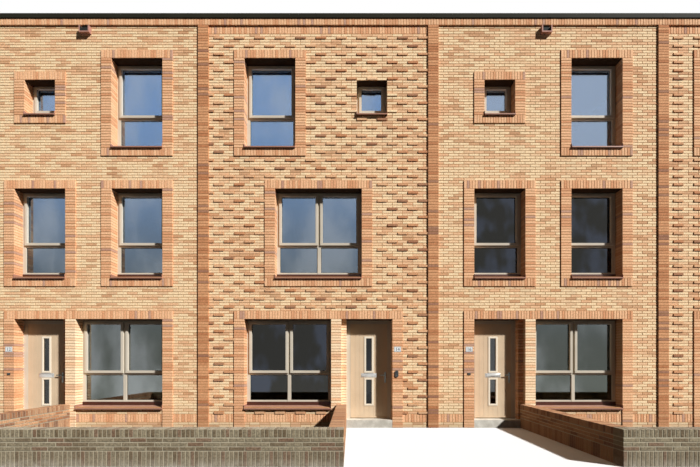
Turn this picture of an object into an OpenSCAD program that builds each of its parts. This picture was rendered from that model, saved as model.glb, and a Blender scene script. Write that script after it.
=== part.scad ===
// A row of four three-storey brick houses with a flat roof.
// Plain houses and patterned houses take turns, and each has one front door.
// Everything stands on a grid of half bricks along the wall and courses up it.
// The front looks along -Y, the origin is under the middle party wall, and +Z is up.

/* [Brick grid] */
// Half a brick and one joint, along the wall
half = 109; // [100:1:118]
// One brick and its bed joint, up the wall
course = 58; // [54:1:64]
// Depth of the facing brickwork, one whole brick
brick_deep = 210; // [190:5:230]
// How far the surrounds of the windows and doors stand out of the wall
surround_out = 20; // [5:1:25]
// How far the piers and the top band stand out of the wall
pier_out = 30; // [26:1:60]

/* [Houses] */
// Depth of a house from front face to rear face
house_deep = 9156; // [7000:10:12000]
// Width of the plain walls between two houses
party_t = 218; // [180:2:300]
// Thickness of the whole outer wall
wall_t = 350; // [330:5:400]
// Courses from one floor to the next
storey_courses = 48; // [46:1:54]
// Thickness of the upper floors
floor_t = 260; // [180:5:320]
// Height of the ground floor above the ground at the doors
floor_rise = 50; // [20:5:80]
// Thickness of the roof deck
roof_t = 300; // [200:5:360]
// Height of the metal roof trim above the wall
trim_h = 56; // [20:2:60]
// How far the edge of the roof trim hangs down over the wall
trim_drop = 36; // [30:2:80]
// Thickness of the roof trim's hanging edge
trim_out = 24; // [10:2:50]
// How far the roof trim reaches past the end walls
trim_end_out = 8; // [4:1:20]

/* [Windows] */
// Width of the frame members
frame_w = 66; // [50:1:80]
// Depth of the frame members
frame_deep = 80; // [60:1:100]
// Thickness of the double glazing
glass_t = 28; // [20:1:36]
// Height of the lower fixed pane's top rail above the sill
low_pane_h = 730; // [600:10:900]
// Height of the metal sills
sill_h = 56; // [40:1:70]
// How far the sills stand out of the wall
sill_out = 60; // [25:1:70]

/* [Doors] */
// Distance from the wall's face to the face of the door frame
door_set = 240; // [230:5:250]
// Width of the door frame's posts and head
door_post_w = 70; // [55:1:80]
// Depth of the door frame
door_frame_deep = 64; // [60:1:70]
// Thickness of the door leaf
leaf_t = 54; // [44:1:56]
// Gap between the leaf and the frame
leaf_gap = 8; // [7:0.5:10]
// Width of the two lights in a leaf
light_w = 124; // [100:2:150]
// Height of the lower light's bottom above the doorstep
low_light_up = 320; // [260:10:340]
// Height of the lower light
low_light_h = 530; // [450:10:550]
// Height of the solid stretch between the two lights, which holds the letter plate
light_gap = 190; // [170:5:230]
// Height of the upper light
high_light_h = 715; // [600:5:740]
// Width of the proud beads around the lights
bead_w = 28; // [20:1:34]
// Height of the lever handle above the doorstep
lever_z = 950; // [900:10:1050]
// Depth of the brick cheek's face beside the door
cheek_set = 90; // [60:5:120]
// Height of the number plates' middle above the ground at the doors
number_up = 1560; // [1400:10:1700]
// Bare brick on each side of a number plate
number_margin = 34; // [20:1:50]
// Height of the bell pushes' middle above the ground at the doors
bell_up = 1035; // [900:5:1200]

/* [Garden walls] */
// Fall of the ground from the doors to the foot of the garden walls, in courses
fall_courses = 2; // [1:1:3]
// Distance from the front face of the house to the face of the garden walls
garden_deep = 3270; // [2000:10:4000]
// Thickness of the garden walls, one whole brick
garden_wall_t = 210; // [190:5:230]
// Height of the garden walls
garden_wall_h = 500; // [420:10:620]

/* [Hidden] */

houses = 4;
field_n = 43;                      // half bricks between two piers
pitch_n = field_n + 2;             // half bricks from pier to pier
pitch = pitch_n * half;
row_x = houses * pitch / 2 + half; // outer face of the end piers
front_y = -house_deep / 2;         // face of the plain front brickwork
rear_y = house_deep / 2;
inner_y = front_y + brick_deep;    // where the inner wall starts
room_y0 = front_y + wall_t;        // inside face of the front wall
room_y1 = rear_y - wall_t;
fall = fall_courses * course;
storeys = [0, 1, 2];

// Courses above the floor line of a storey
soldier_n = 3;                     // an upright brick is three courses high
head_n = 38;
tall_sill_n = 5;
small_sill_n = 17;
small_head_n = 30;
side_n = 2;                        // width of a surround's side, in half bricks
cheek_n = 1;
foot_n = tall_sill_n - soldier_n;
top_n = head_n + soldier_n;
wall_top_n = 2 * storey_courses + 53;
band_n = wall_top_n - soldier_n;   // underside of the top band
roof_top_n = wall_top_n - 5;

// The openings of a storey: [left, right, sill, head, wings, framed], from the left pier's edge.
// Plain houses have their door on the left and patterned ones on the right.
porch = [5, 38];                   // the surround that holds the door and the ground window
plain_front = [
    [[19, 36, tall_sill_n, head_n, 2, false]],
    [[7, 17, tall_sill_n, head_n, 1, true], [26, 36, tall_sill_n, head_n, 1, true]],
    [[9, 15, small_sill_n, small_head_n, 0, true], [26, 36, tall_sill_n, head_n, 1, true]]
];
patterned_front = [
    [[7, 24, tall_sill_n, head_n, 2, false]],
    [[13, 30, tall_sill_n, head_n, 2, true]],
    [[7, 17, tall_sill_n, head_n, 1, true], [29, 35, small_sill_n, small_head_n, 0, false]]
];
plain_rear = [
    [[13, 30, tall_sill_n, head_n, 2, false]],
    [[7, 17, tall_sill_n, head_n, 1, false], [26, 36, tall_sill_n, head_n, 1, false]],
    [[7, 17, tall_sill_n, head_n, 1, false], [26, 36, tall_sill_n, head_n, 1, false]]
];
patterned_rear = [
    [[13, 30, tall_sill_n, head_n, 2, false]],
    [[13, 30, tall_sill_n, head_n, 2, false]],
    [[13, 30, tall_sill_n, head_n, 2, false]]
];

function is_plain(i) = i % 2 == 0;
function front_windows(i, s) = is_plain(i) ? plain_front[s] : patterned_front[s];
function rear_windows(i, s) = is_plain(i) ? plain_rear[s] : patterned_rear[s];

// The doorway between its outer jamb and the brick cheek beside the window
function doorway(i) = is_plain(i) ? [7, 16] : [27, 36];
function cheek(i) = is_plain(i) ? [16, 16 + cheek_n] : [27 - cheek_n, 27];
function middle_pier(i) = is_plain(i) ? [17, 19] : [24, 26];

// Places on the brick grid: n half bricks along house i, and n courses up
function at(i, n) = (i - houses / 2) * pitch + (n + 1) * half;
function up(n) = fall + n * course;
function level(s, n) = up(s * storey_courses + n);

// The width and height that a window's surround takes out of the facing
function wide(w) = w[5] ? [w[0] - side_n, w[1] + side_n] : [w[0], w[1]];
function tall(w) = w[5] ? [w[2] - soldier_n, w[3] + soldier_n] : [w[2], w[3]];

// What is left of a stretch from a to b beside a list of gaps
function beside(gaps, a, b) = [
    for (k = [0 : len(gaps)])
        [k == 0 ? a : gaps[k - 1][1], k == len(gaps) ? b : gaps[k][0]]
];

module block(x, y, z) {
    translate([x[0], y[0], z[0]])
        cube([x[1] - x[0], y[1] - y[0], z[1] - z[0]]);
}

facing_y = [front_y, inner_y];
surround_y = [front_y - surround_out, inner_y];
structure_y = [inner_y, room_y0];
rear_wall_y = [room_y1, rear_y];
whole_x = [-row_x, row_x];

// Party walls, floors and roof

module party_walls() {
    color("lightgray")
        for (i = [0 : houses]) {
            x = (i - houses / 2) * pitch;
            is_end = i == 0 || i == houses;
            // The two end walls keep their outside face flush with the end piers
            side = i == 0 ? [-row_x, -row_x + party_t] : i == houses ? [row_x - party_t, row_x]
                : [x - party_t / 2, x + party_t / 2];
            z1 = is_end ? up(wall_top_n) : up(roof_top_n) - roof_t;
            block(side, [room_y0, room_y1], [0, z1]);
        }
}

function room_x(i) = [
    i == 0 ? -row_x + party_t : (i - houses / 2) * pitch + party_t / 2,
    i == houses - 1 ? row_x - party_t : (i + 1 - houses / 2) * pitch - party_t / 2
];

// One slab a storey in each house, the lowest one down to the ground
module floors() {
    color("silver")
        for (i = [0 : houses - 1], s = storeys) {
            z = level(s, 0) + floor_rise;
            block(room_x(i), [room_y0, room_y1], [s == 0 ? 0 : z - floor_t, z]);
        }
}

module roof_deck() {
    color("dimgray")
        block([-row_x + party_t, row_x - party_t], [room_y0, room_y1],
              [up(roof_top_n) - roof_t, up(roof_top_n)]);
}

module roof_trim() {
    joint = 2;                     // open joints at the corners
    y0 = front_y - pier_out - trim_out;
    y1 = rear_y + trim_out;
    x1 = row_x + trim_end_out;
    top = [up(wall_top_n), up(wall_top_n) + trim_h];
    edge = [up(wall_top_n) - trim_drop, up(wall_top_n) + trim_h];
    color([0.13, 0.13, 0.11]) {
        block([-x1, x1], [y0, room_y0], top);
        block(whole_x, [y0, y0 + trim_out], edge);
        block([-x1, x1], [room_y1, y1], top);
        block(whole_x, [rear_y, y1], edge);
        for (x = [[-x1, party_t - row_x], [row_x - party_t, x1]])
            block(x, [room_y0 + joint, room_y1 - joint], top);
    }
}

// Front brickwork

module front_piers() {
    color([0.70, 0.42, 0.28])
        for (i = [0 : houses])
            block([at(i, -2), at(i, 0)], [front_y - pier_out, inner_y], [0, up(band_n)]);
}

module top_band() {
    color([0.72, 0.44, 0.30])
        block(whole_x, [front_y - pier_out, inner_y], [up(band_n), up(wall_top_n)]);
}

module facing_bands() {
    color([0.83, 0.66, 0.44])
        for (i = [0 : houses - 1], s = storeys)
            block([at(i, 0), at(i, field_n)], facing_y,
                  [level(s, top_n), s == 2 ? up(band_n) : level(s + 1, foot_n)]);
}

function front_spans(i, s) = s == 0 ? [porch] : [for (w = front_windows(i, s)) wide(w)];

module facing_panels() {
    color([0.83, 0.66, 0.44])
        for (i = [0 : houses - 1], s = storeys, p = beside(front_spans(i, s), 0, field_n))
            block([at(i, p[0]), at(i, p[1])], facing_y,
                  [s == 0 ? 0 : level(s, foot_n), level(s, top_n)]);
}

// Brickwork under the ground windows, and under and over the small windows
module facing_infills() {
    color([0.83, 0.66, 0.44])
        for (i = [0 : houses - 1], s = storeys, w = front_windows(i, s)) {
            x = [at(i, wide(w)[0]), at(i, wide(w)[1])];
            if (s == 0)
                block(x, facing_y, [0, level(s, w[2])]);
            if (w[4] == 0) {
                block(x, facing_y, [level(s, foot_n), level(s, tall(w)[0])]);
                block(x, facing_y, [level(s, tall(w)[1]), level(s, top_n)]);
            }
        }
}

// Stacked bricks beside each window and door, and the pier between door and window
module surround_sides() {
    color([0.74, 0.43, 0.27])
        for (i = [0 : houses - 1]) {
            lone = [[porch[0], porch[0] + side_n], middle_pier(i), [porch[1] - side_n, porch[1]]];
            for (p = lone)
                block([at(i, p[0]), at(i, p[1])], surround_y, [0, up(head_n)]);
            for (s = [1, 2], w = front_windows(i, s))
                if (w[5])
                    for (n = [w[0] - side_n, w[1]])
                        block([at(i, n), at(i, n + side_n)], surround_y, [level(s, w[2]), level(s, w[3])]);
        }
}

// Upright bricks over each opening
module surround_heads() {
    color([0.76, 0.45, 0.29])
        for (i = [0 : houses - 1]) {
            block([at(i, porch[0]), at(i, porch[1])], surround_y, [up(head_n), up(top_n)]);
            for (s = [1, 2], w = front_windows(i, s))
                if (w[5])
                    block([at(i, wide(w)[0]), at(i, wide(w)[1])], surround_y,
                          [level(s, w[3]), level(s, w[3] + soldier_n)]);
        }
}

// Upright bricks under each upper window
module surround_feet() {
    color([0.76, 0.45, 0.29])
        for (i = [0 : houses - 1], s = [1, 2], w = front_windows(i, s))
            if (w[5])
                block([at(i, wide(w)[0]), at(i, wide(w)[1])], surround_y,
                      [level(s, w[2] - soldier_n), level(s, w[2])]);
}

module door_cheeks() {
    color([0.70, 0.40, 0.26])
        for (i = [0 : houses - 1])
            block([at(i, cheek(i)[0]), at(i, cheek(i)[1])], [front_y + cheek_set, inner_y], [0, up(head_n)]);
}

// Inner wall behind the front brickwork

module wall_bands(y) {
    for (s = storeys)
        block(whole_x, y, [level(s, head_n), s == 2 ? up(wall_top_n) : level(s + 1, tall_sill_n)]);
}

module front_wall_bands() color("gainsboro") wall_bands(structure_y);

function structure_gaps(i, s) = s > 0 ? front_windows(i, s)
    : is_plain(i) ? [doorway(i), front_windows(i, s)[0]] : [front_windows(i, s)[0], doorway(i)];

module front_wall_panels() {
    color("gainsboro")
        for (i = [0 : houses - 1], s = storeys, p = beside(structure_gaps(i, s), -1, field_n + 1)) {
            x0 = i == 0 && p[0] == -1 ? -row_x : at(i, p[0]);
            x1 = i == houses - 1 && p[1] == field_n + 1 ? row_x : at(i, p[1]);
            block([x0, x1], structure_y, [s == 0 ? 0 : level(s, tall_sill_n), level(s, head_n)]);
        }
}

module front_wall_infills() {
    color("gainsboro")
        for (i = [0 : houses - 1], s = storeys, w = front_windows(i, s)) {
            x = [at(i, w[0]), at(i, w[1])];
            if (s == 0)
                block(x, structure_y, [0, level(s, w[2])]);
            if (w[4] == 0) {
                block(x, structure_y, [level(s, tall_sill_n), level(s, w[2])]);
                block(x, structure_y, [level(s, w[3]), level(s, head_n)]);
            }
        }
}

// Rear wall, plain brickwork

module rear_wall_bands() color([0.83, 0.66, 0.44]) wall_bands(rear_wall_y);

module rear_wall_panels() {
    color([0.83, 0.66, 0.44])
        for (i = [0 : houses - 1], s = storeys, p = beside(rear_windows(i, s), -1, field_n + 1)) {
            x0 = i == 0 && p[0] == -1 ? -row_x : at(i, p[0]);
            x1 = i == houses - 1 && p[1] == field_n + 1 ? row_x : at(i, p[1]);
            block([x0, x1], rear_wall_y, [s == 0 ? 0 : level(s, tall_sill_n), level(s, head_n)]);
        }
}

module rear_wall_aprons() {
    color([0.83, 0.66, 0.44])
        for (i = [0 : houses - 1], w = rear_windows(i, 0))
            block([at(i, w[0]), at(i, w[1])], rear_wall_y, [0, level(0, w[2])]);
}

// Windows, set behind the facing at the front and as deep at the rear

front_frame_y = [inner_y, inner_y + frame_deep];
rear_frame_y = [rear_y - brick_deep - frame_deep, rear_y - brick_deep];

// One kind of part in every window of the row
module each_window(part) {
    for (i = [0 : houses - 1], s = storeys) {
        for (w = front_windows(i, s))
            window_part(part, [at(i, w[0]), at(i, w[1])], [level(s, w[2]), level(s, w[3])], w[4], true);
        for (w = rear_windows(i, s))
            window_part(part, [at(i, w[0]), at(i, w[1])], [level(s, w[2]), level(s, w[3])], w[4], false);
    }
}

module window_part(part, x, z, wings, is_front) {
    y = is_front ? front_frame_y : rear_frame_y;
    z0 = z[0] + sill_h;
    if (part == "sill")
        block(x, is_front ? [front_y - sill_out, inner_y] : [rear_y - brick_deep, rear_y + sill_out],
              [z[0], z0]);
    if (part == "stile") {
        edges = wings == 2 ? [x[0], (x[0] + x[1] - frame_w) / 2, x[1] - frame_w] : [x[0], x[1] - frame_w];
        for (e = edges)
            block([e, e + frame_w], y, [z[0], z[1]]);
    }
    bays = wings == 2
        ? [[x[0] + frame_w, (x[0] + x[1] - frame_w) / 2], [(x[0] + x[1] + frame_w) / 2, x[1] - frame_w]]
        : [[x[0] + frame_w, x[1] - frame_w]];
    low = wings == 0 ? [] : [z0 + low_pane_h - frame_w];
    if (part == "rail")
        for (b = bays) {
            block(b, y, [z[0], z0 + frame_w]);
            for (r = low)
                block(b, y, [r, r + frame_w]);
            block(b, y, [z[1] - frame_w, z[1]]);
        }
    if (part == "pane") {
        mid = (y[0] + y[1]) / 2;
        rows = wings == 0 ? [[z0 + frame_w, z[1] - frame_w]]
            : [[z0 + frame_w, low[0]], [low[0] + frame_w, z[1] - frame_w]];
        for (b = bays, r = rows)
            block(b, [mid - glass_t / 2, mid + glass_t / 2], r);
    }
}

module window_sills() color([0.36, 0.20, 0.16]) each_window("sill");
module window_stiles() color([0.42, 0.38, 0.33]) each_window("stile");
module window_rails() color([0.42, 0.38, 0.33]) each_window("rail");
module window_panes() color([0.55, 0.65, 0.70, 0.5]) each_window("pane");

// Doorways

door_y = [front_y + door_set, front_y + door_set + door_frame_deep];
step_z = fall + floor_rise;

module doorsteps() {
    color([0.80, 0.77, 0.70])
        for (i = [0 : houses - 1]) {
            n0 = min(doorway(i)[0], cheek(i)[0]);
            n1 = max(doorway(i)[1], cheek(i)[1]);
            block([at(i, n0), at(i, n1)], [front_y - surround_out, front_y + cheek_set], [0, step_z]);
        }
}

module thresholds() {
    color([0.55, 0.52, 0.47])
        for (i = [0 : houses - 1])
            block([at(i, doorway(i)[0]), at(i, doorway(i)[1])], [front_y + cheek_set, room_y0], [0, step_z]);
}

module door_posts() {
    color([0.45, 0.41, 0.36])
        for (i = [0 : houses - 1], x = [at(i, doorway(i)[0]), at(i, doorway(i)[1]) - door_post_w])
            block([x, x + door_post_w], door_y, [step_z, up(head_n)]);
}

module door_heads() {
    color([0.45, 0.41, 0.36])
        for (i = [0 : houses - 1])
            block([at(i, doorway(i)[0]) + door_post_w, at(i, doorway(i)[1]) - door_post_w], door_y,
                  [up(head_n) - door_post_w, up(head_n)]);
}

// Leaf of house i, hung on its left side and opening inwards
function leaf_x(i) = [
    at(i, doorway(i)[0]) + door_post_w + leaf_gap,
    at(i, doorway(i)[1]) - door_post_w - leaf_gap
];
leaf_y = [door_y[1] - leaf_t, door_y[1]];
leaf_z = [step_z + leaf_gap, up(head_n) - door_post_w - leaf_gap];
low_light_z = [step_z + low_light_up, step_z + low_light_up + low_light_h];
high_light_z = [low_light_z[1] + light_gap, low_light_z[1] + light_gap + high_light_h];
plate_z = low_light_z[1] + light_gap / 2; // middle of the letter plate
hinge_out = 8;                     // from the leaf's inner face to the hinge pin
hinge_r = 7;
hinge_len = 100;
knuckle_len = 40;                  // of the middle knuckle, which turns with the leaf
knuckle_gap = 0.3;
flap_w = 38;
flap_t = 3;

function light_x(i) = let (m = (leaf_x(i)[0] + leaf_x(i)[1]) / 2) [m - light_w / 2, m + light_w / 2];

module door_leaf(i) {
    color([0.50, 0.45, 0.39])
        difference() {
            block(leaf_x(i), leaf_y, leaf_z);
            for (z = [low_light_z, high_light_z])
                block(light_x(i), [leaf_y[0] - 1, leaf_y[1] + 1], z);
        }
}

module door_lights(i) {
    mid = (leaf_y[0] + leaf_y[1]) / 2;
    color([0.30, 0.36, 0.36, 0.5])
        for (z = [low_light_z, high_light_z])
            block(light_x(i), [mid - glass_t / 2, mid + glass_t / 2], z);
}

bead_t = 12;

module bead_ring(i, z, y) {
    x = light_x(i);
    difference() {
        block([x[0] - bead_w, x[1] + bead_w], y, [z[0] - bead_w, z[1] + bead_w]);
        block(x, [y[0] - 1, y[1] + 1], z);
    }
}

// Beads, letter plate, lever handles and hinges of a leaf
module door_fittings(i) {
    mid = (leaf_x(i)[0] + leaf_x(i)[1]) / 2;
    handle_x = leaf_x(i)[1] - 55;
    color([0.72, 0.72, 0.72]) {
        for (z = [low_light_z, high_light_z]) {
            bead_ring(i, z, [leaf_y[0] - bead_t, leaf_y[0]]);
            bead_ring(i, z, [leaf_y[1], leaf_y[1] + bead_t]);
        }
        block([mid - 168, mid + 168], [leaf_y[0] - 22, leaf_y[0]], [plate_z - 46, plate_z + 46]);
        for (face = [[leaf_y[0], -1], [leaf_y[1], 1]])
            lever(handle_x, face[0], face[1]);
        for (z = hinge_zs)
            hinge_half(i, 1, [z - knuckle_len / 2, z + knuckle_len / 2]);
    }
}

hinge_zs = [leaf_z[0] + 250, (leaf_z[0] + leaf_z[1]) / 2, leaf_z[1] - 250];
function pin_x(i) = leaf_x(i)[0] - leaf_gap / 2;

// A knuckle on the pin with its flap, towards the leaf (side 1) or the post (side -1)
module hinge_half(i, side, z) {
    translate([pin_x(i), leaf_y[1] + hinge_out, z[0]])
        cylinder(r = hinge_r, h = z[1] - z[0], $fn = 24);
    x1 = pin_x(i) + side * flap_w;
    block([min(pin_x(i), x1), max(pin_x(i), x1)], [leaf_y[1], leaf_y[1] + flap_t], z);
}

// The halves of the hinges that stay on the posts, over and under the leaf's knuckles
module door_hinges() {
    reach = knuckle_len / 2 + knuckle_gap;
    color([0.72, 0.72, 0.72])
        for (i = [0 : houses - 1], z = hinge_zs) {
            hinge_half(i, -1, [z - hinge_len / 2, z - reach]);
            hinge_half(i, -1, [z + reach, z + hinge_len / 2]);
        }
}

// Long plate with a bent lever, on the leaf's face at y
module lever(x, y, side) {
    plate_t = 9;
    stem = 48;
    z = step_z + lever_z;
    y0 = min(y, y + side * plate_t);
    block([x - 17, x + 17], [y0, y0 + plate_t], [z - 165, z + 60]);
    translate([x, y + side * plate_t, z])
        rotate([side < 0 ? 90 : -90, 0, 0])
            cylinder(r = 10, h = stem, $fn = 24);
    y1 = y + side * (plate_t + stem);
    block([x - 118, x + 10], [min(y1, y1 - side * 20), max(y1, y1 - side * 20)], [z - 10, z + 10]);
}

module door_leaf_1() door_leaf(0);
module door_leaf_2() door_leaf(1);
module door_leaf_3() door_leaf(2);
module door_leaf_4() door_leaf(3);
module door_lights_1() door_lights(0);
module door_lights_2() door_lights(1);
module door_lights_3() door_lights(2);
module door_lights_4() door_lights(3);
module door_fittings_1() door_fittings(0);
module door_fittings_2() door_fittings(1);
module door_fittings_3() door_fittings(2);
module door_fittings_4() door_fittings(3);

// Small pieces on the front

// Open gutters that carry the roof's rain through the wall
module rain_spouts() {
    spout_w = 216;
    spout_h = 146;
    spout_out = 86;
    spout_down = 44;               // from the top band to the gutter's rim
    wall = 22;
    n = 21;
    color([0.48, 0.27, 0.20])
        for (i = [0 : houses - 1])
            if (is_plain(i)) {
                x = at(i, n);
                z0 = up(band_n) - spout_down - spout_h;
                difference() {
                    block([x - spout_w / 2, x + spout_w / 2], [front_y - spout_out, front_y], [z0, z0 + spout_h]);
                    block([x - spout_w / 2 + wall, x + spout_w / 2 - wall],
                          [front_y - spout_out - 1, front_y - 1],
                          [z0 + wall, z0 + spout_h + 1]);
                }
            }
}

// The side of the surround that the number and the bell are on
function jamb_mid(i) = at(i, is_plain(i) ? porch[0] + 1 : porch[1] - 1);

module number_plates() {
    plate_w = side_n * half - 2 * number_margin;
    plate_h = 112;
    z = fall + number_up;
    y = front_y - surround_out;
    color("whitesmoke")
        for (i = [0 : houses - 1])
            block([jamb_mid(i) - plate_w / 2, jamb_mid(i) + plate_w / 2], [y - 8, y],
                  [z - plate_h / 2, z + plate_h / 2]);
}

module bell_pushes() {
    z = fall + bell_up;
    y = front_y - surround_out;
    color([0.08, 0.08, 0.08])
        for (i = [0 : houses - 1])
            if (is_plain(i))
                block([jamb_mid(i) - 32, jamb_mid(i) + 32], [y - 16, y], [z - 20, z + 20]);
            else
                translate([jamb_mid(i) - 20, y, z])
                    rotate([90, 0, 0])
                        linear_extrude(22)
                            pill(38, 74);
}

// Upright pill outline, r wide to each side and h high to each side
module pill(r, h) {
    for (side = [-1, 1])
        translate([0, side * (h - r)])
            circle(r = r, $fn = 48);
    square([2 * r, 2 * (h - r)], center = true);
}

// Garden walls, from the cheek of a plain house's door to that of the next door

function garden_x(g) = [at(2 * g, cheek(0)[0]), at(2 * g + 1, cheek(1)[1])];
garden_front_y = [front_y - garden_deep, front_y - garden_deep + garden_wall_t];

module garden_front_walls() {
    color([0.45, 0.36, 0.30])
        for (g = [0 : houses / 2 - 1])
            block(garden_x(g), garden_front_y, [0, garden_wall_h]);
}

module garden_side_walls() {
    color([0.45, 0.36, 0.30])
        for (g = [0 : houses / 2 - 1], x = [garden_x(g)[0], garden_x(g)[1] - garden_wall_t])
            block([x, x + garden_wall_t], [garden_front_y[1], front_y - surround_out], [0, garden_wall_h]);
}

party_walls();
floors();
roof_deck();
roof_trim();
front_piers();
top_band();
facing_bands();
facing_panels();
facing_infills();
surround_sides();
surround_heads();
surround_feet();
door_cheeks();
front_wall_bands();
front_wall_panels();
front_wall_infills();
rear_wall_bands();
rear_wall_panels();
rear_wall_aprons();
window_sills();
window_stiles();
window_rails();
window_panes();
doorsteps();
thresholds();
door_posts();
door_heads();
door_hinges();
rain_spouts();
number_plates();
bell_pushes();
garden_front_walls();
garden_side_walls();
door_leaf_1();
door_leaf_2();
door_leaf_3();
door_leaf_4();
door_lights_1();
door_lights_2();
door_lights_3();
door_lights_4();
door_fittings_1();
door_fittings_2();
door_fittings_3();
door_fittings_4();
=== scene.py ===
import math
import random

import bpy
import bmesh
from mathutils import Matrix, Vector


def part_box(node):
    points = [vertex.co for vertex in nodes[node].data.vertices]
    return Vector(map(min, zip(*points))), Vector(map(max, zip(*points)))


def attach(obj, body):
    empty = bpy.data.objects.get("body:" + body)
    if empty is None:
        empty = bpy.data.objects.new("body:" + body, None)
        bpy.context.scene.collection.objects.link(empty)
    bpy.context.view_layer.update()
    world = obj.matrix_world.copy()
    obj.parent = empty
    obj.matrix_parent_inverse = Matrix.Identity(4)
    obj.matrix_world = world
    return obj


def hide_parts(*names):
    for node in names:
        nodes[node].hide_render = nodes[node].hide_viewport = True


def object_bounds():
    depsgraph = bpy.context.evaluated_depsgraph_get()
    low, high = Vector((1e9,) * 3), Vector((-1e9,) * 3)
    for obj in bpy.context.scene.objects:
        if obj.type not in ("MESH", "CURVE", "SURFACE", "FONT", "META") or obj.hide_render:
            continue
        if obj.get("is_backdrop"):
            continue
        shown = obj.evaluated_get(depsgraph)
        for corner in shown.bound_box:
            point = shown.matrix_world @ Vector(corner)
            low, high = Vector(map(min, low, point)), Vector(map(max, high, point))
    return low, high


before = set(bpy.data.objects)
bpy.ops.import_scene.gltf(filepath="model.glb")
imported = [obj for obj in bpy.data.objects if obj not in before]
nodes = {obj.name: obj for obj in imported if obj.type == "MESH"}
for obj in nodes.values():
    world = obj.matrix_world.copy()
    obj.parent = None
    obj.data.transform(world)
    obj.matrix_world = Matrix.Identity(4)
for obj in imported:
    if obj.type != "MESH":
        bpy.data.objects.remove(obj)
cadLow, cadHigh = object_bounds()
scene = bpy.context.scene

# The brick grid that the whole front is set out on, in metres
grid = {
    "half": 0.109,      # half a brick and one joint
    "course": 0.058,    # a brick and its bed joint
    "bed": 0.0105,      # bed joint, seen between the worn edges
    "joint": 0.0085,    # upright joint
    "fall": 0.116,      # ground at the doors above the garden walls' foot
    "pitch": 4.905,     # pier to pier
    "field": 43,        # half bricks between two piers
    "storey": 48,       # courses a storey
    "top": 149,         # courses to the top of the walls
    "band": 146,        # underside of the top band
    "head": 38,         # courses to the head of an opening
    "proud": 0.0045,    # brick faces stand this far out of the mortar
    "lap": 0.001,       # brick corners reach this far round a reveal
}

# Openings of a storey: left, right, sill, head, wings, framed
openings = {
    "plainFront": [[(19, 36, 5, 38, 2, False)],
                   [(7, 17, 5, 38, 1, True), (26, 36, 5, 38, 1, True)],
                   [(9, 15, 17, 30, 0, True), (26, 36, 5, 38, 1, True)]],
    "patternedFront": [[(7, 24, 5, 38, 2, False)],
                       [(13, 30, 5, 38, 2, True)],
                       [(7, 17, 5, 38, 1, True), (29, 35, 17, 30, 0, False)]],
    "plainRear": [[(13, 30, 5, 38, 2, False)],
                  [(7, 17, 5, 38, 1, False), (26, 36, 5, 38, 1, False)],
                  [(7, 17, 5, 38, 1, False), (26, 36, 5, 38, 1, False)]],
    "patternedRear": [[(13, 30, 5, 38, 2, False)]] * 3,
    "porch": (5, 38),
}


def isPlain(house):
    return house % 2 == 0


def windowsOf(house, storey, side="Front"):
    return openings[("plain" if isPlain(house) else "patterned") + side][storey]


def doorwayOf(house):
    return (7, 16) if isPlain(house) else (27, 36)


def cheekOf(house):
    return (16, 17) if isPlain(house) else (26, 27)


def middlePierOf(house):
    return (17, 19) if isPlain(house) else (24, 26)


def along(house, n):
    return (house - 2) * grid["pitch"] + (n + 1) * grid["half"]


def upTo(course):
    return grid["fall"] + course * grid["course"]


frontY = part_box("facing_bands")[0].y
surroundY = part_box("surround_heads")[0].y
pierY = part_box("front_piers")[0].y
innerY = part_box("front_piers")[1].y
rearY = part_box("rear_wall_bands")[1].y
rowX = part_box("front_piers")[1].x
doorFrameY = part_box("door_posts")[0].y
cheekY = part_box("door_cheeks")[0].y
wallTop = upTo(grid["top"])


def nodeAdder(tree):
    def add(kind, **settings):
        node = tree.nodes.new(kind)
        for key, value in settings.items():
            setattr(node, key, value)
        return node
    return add


def mixColors(tree, factor, first, second, blend="MIX"):
    node = tree.nodes.new("ShaderNodeMix")
    node.data_type, node.blend_type = "RGBA", blend
    node.clamp_factor = True
    for socket, value in ((node.inputs[0], factor), (node.inputs[6], first), (node.inputs[7], second)):
        if isinstance(value, bpy.types.NodeSocket):
            tree.links.new(value, socket)
        else:
            socket.default_value = value
    return node.outputs[2]


def calc(tree, operation, first, second=0.0, third=0.0):
    node = tree.nodes.new("ShaderNodeMath")
    node.operation = operation
    for socket, value in zip(node.inputs, (first, second, third)):
        if isinstance(value, bpy.types.NodeSocket):
            tree.links.new(value, socket)
        else:
            socket.default_value = value
    return node.outputs[0]


def spread(tree, value, fromLow, fromHigh, toLow=0.0, toHigh=1.0):
    node = tree.nodes.new("ShaderNodeMapRange")
    node.interpolation_type = "SMOOTHSTEP"
    tree.links.new(value, node.inputs[0])
    for socket, number in zip(node.inputs[1:5], (fromLow, fromHigh, toLow, toHigh)):
        socket.default_value = number
    return node.outputs[0]


def partsOf(tree, kind, output):  # x, y and z of a position or a normal
    source, parts = tree.nodes.new(kind), tree.nodes.new("ShaderNodeSeparateXYZ")
    tree.links.new(source.outputs[output], parts.inputs[0])
    return parts.outputs


def noiseAt(tree, scale, detail=2.0, stretch=(1, 1, 1)):
    place = tree.nodes.new("ShaderNodeTexCoord")
    mapping = tree.nodes.new("ShaderNodeMapping")
    mapping.inputs["Scale"].default_value = stretch
    noise = tree.nodes.new("ShaderNodeTexNoise")
    noise.inputs["Scale"].default_value = scale
    noise.inputs["Detail"].default_value = detail
    tree.links.new(place.outputs["Object"], mapping.inputs["Vector"])
    tree.links.new(mapping.outputs["Vector"], noise.inputs["Vector"])
    return noise.outputs["Fac"]


def newGroup(name, inputs, outputs):
    tree = bpy.data.node_groups.new(name, "ShaderNodeTree")
    for label, kind, value in inputs:
        socket = tree.interface.new_socket(label, in_out="INPUT", socket_type=kind)
        socket.default_value = value
    for label, kind in outputs:
        tree.interface.new_socket(label, in_out="OUTPUT", socket_type=kind)
    return tree, tree.nodes.new("NodeGroupInput"), tree.nodes.new("NodeGroupOutput")


colorSocket, floatSocket = "NodeSocketColor", "NodeSocketFloat"


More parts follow.
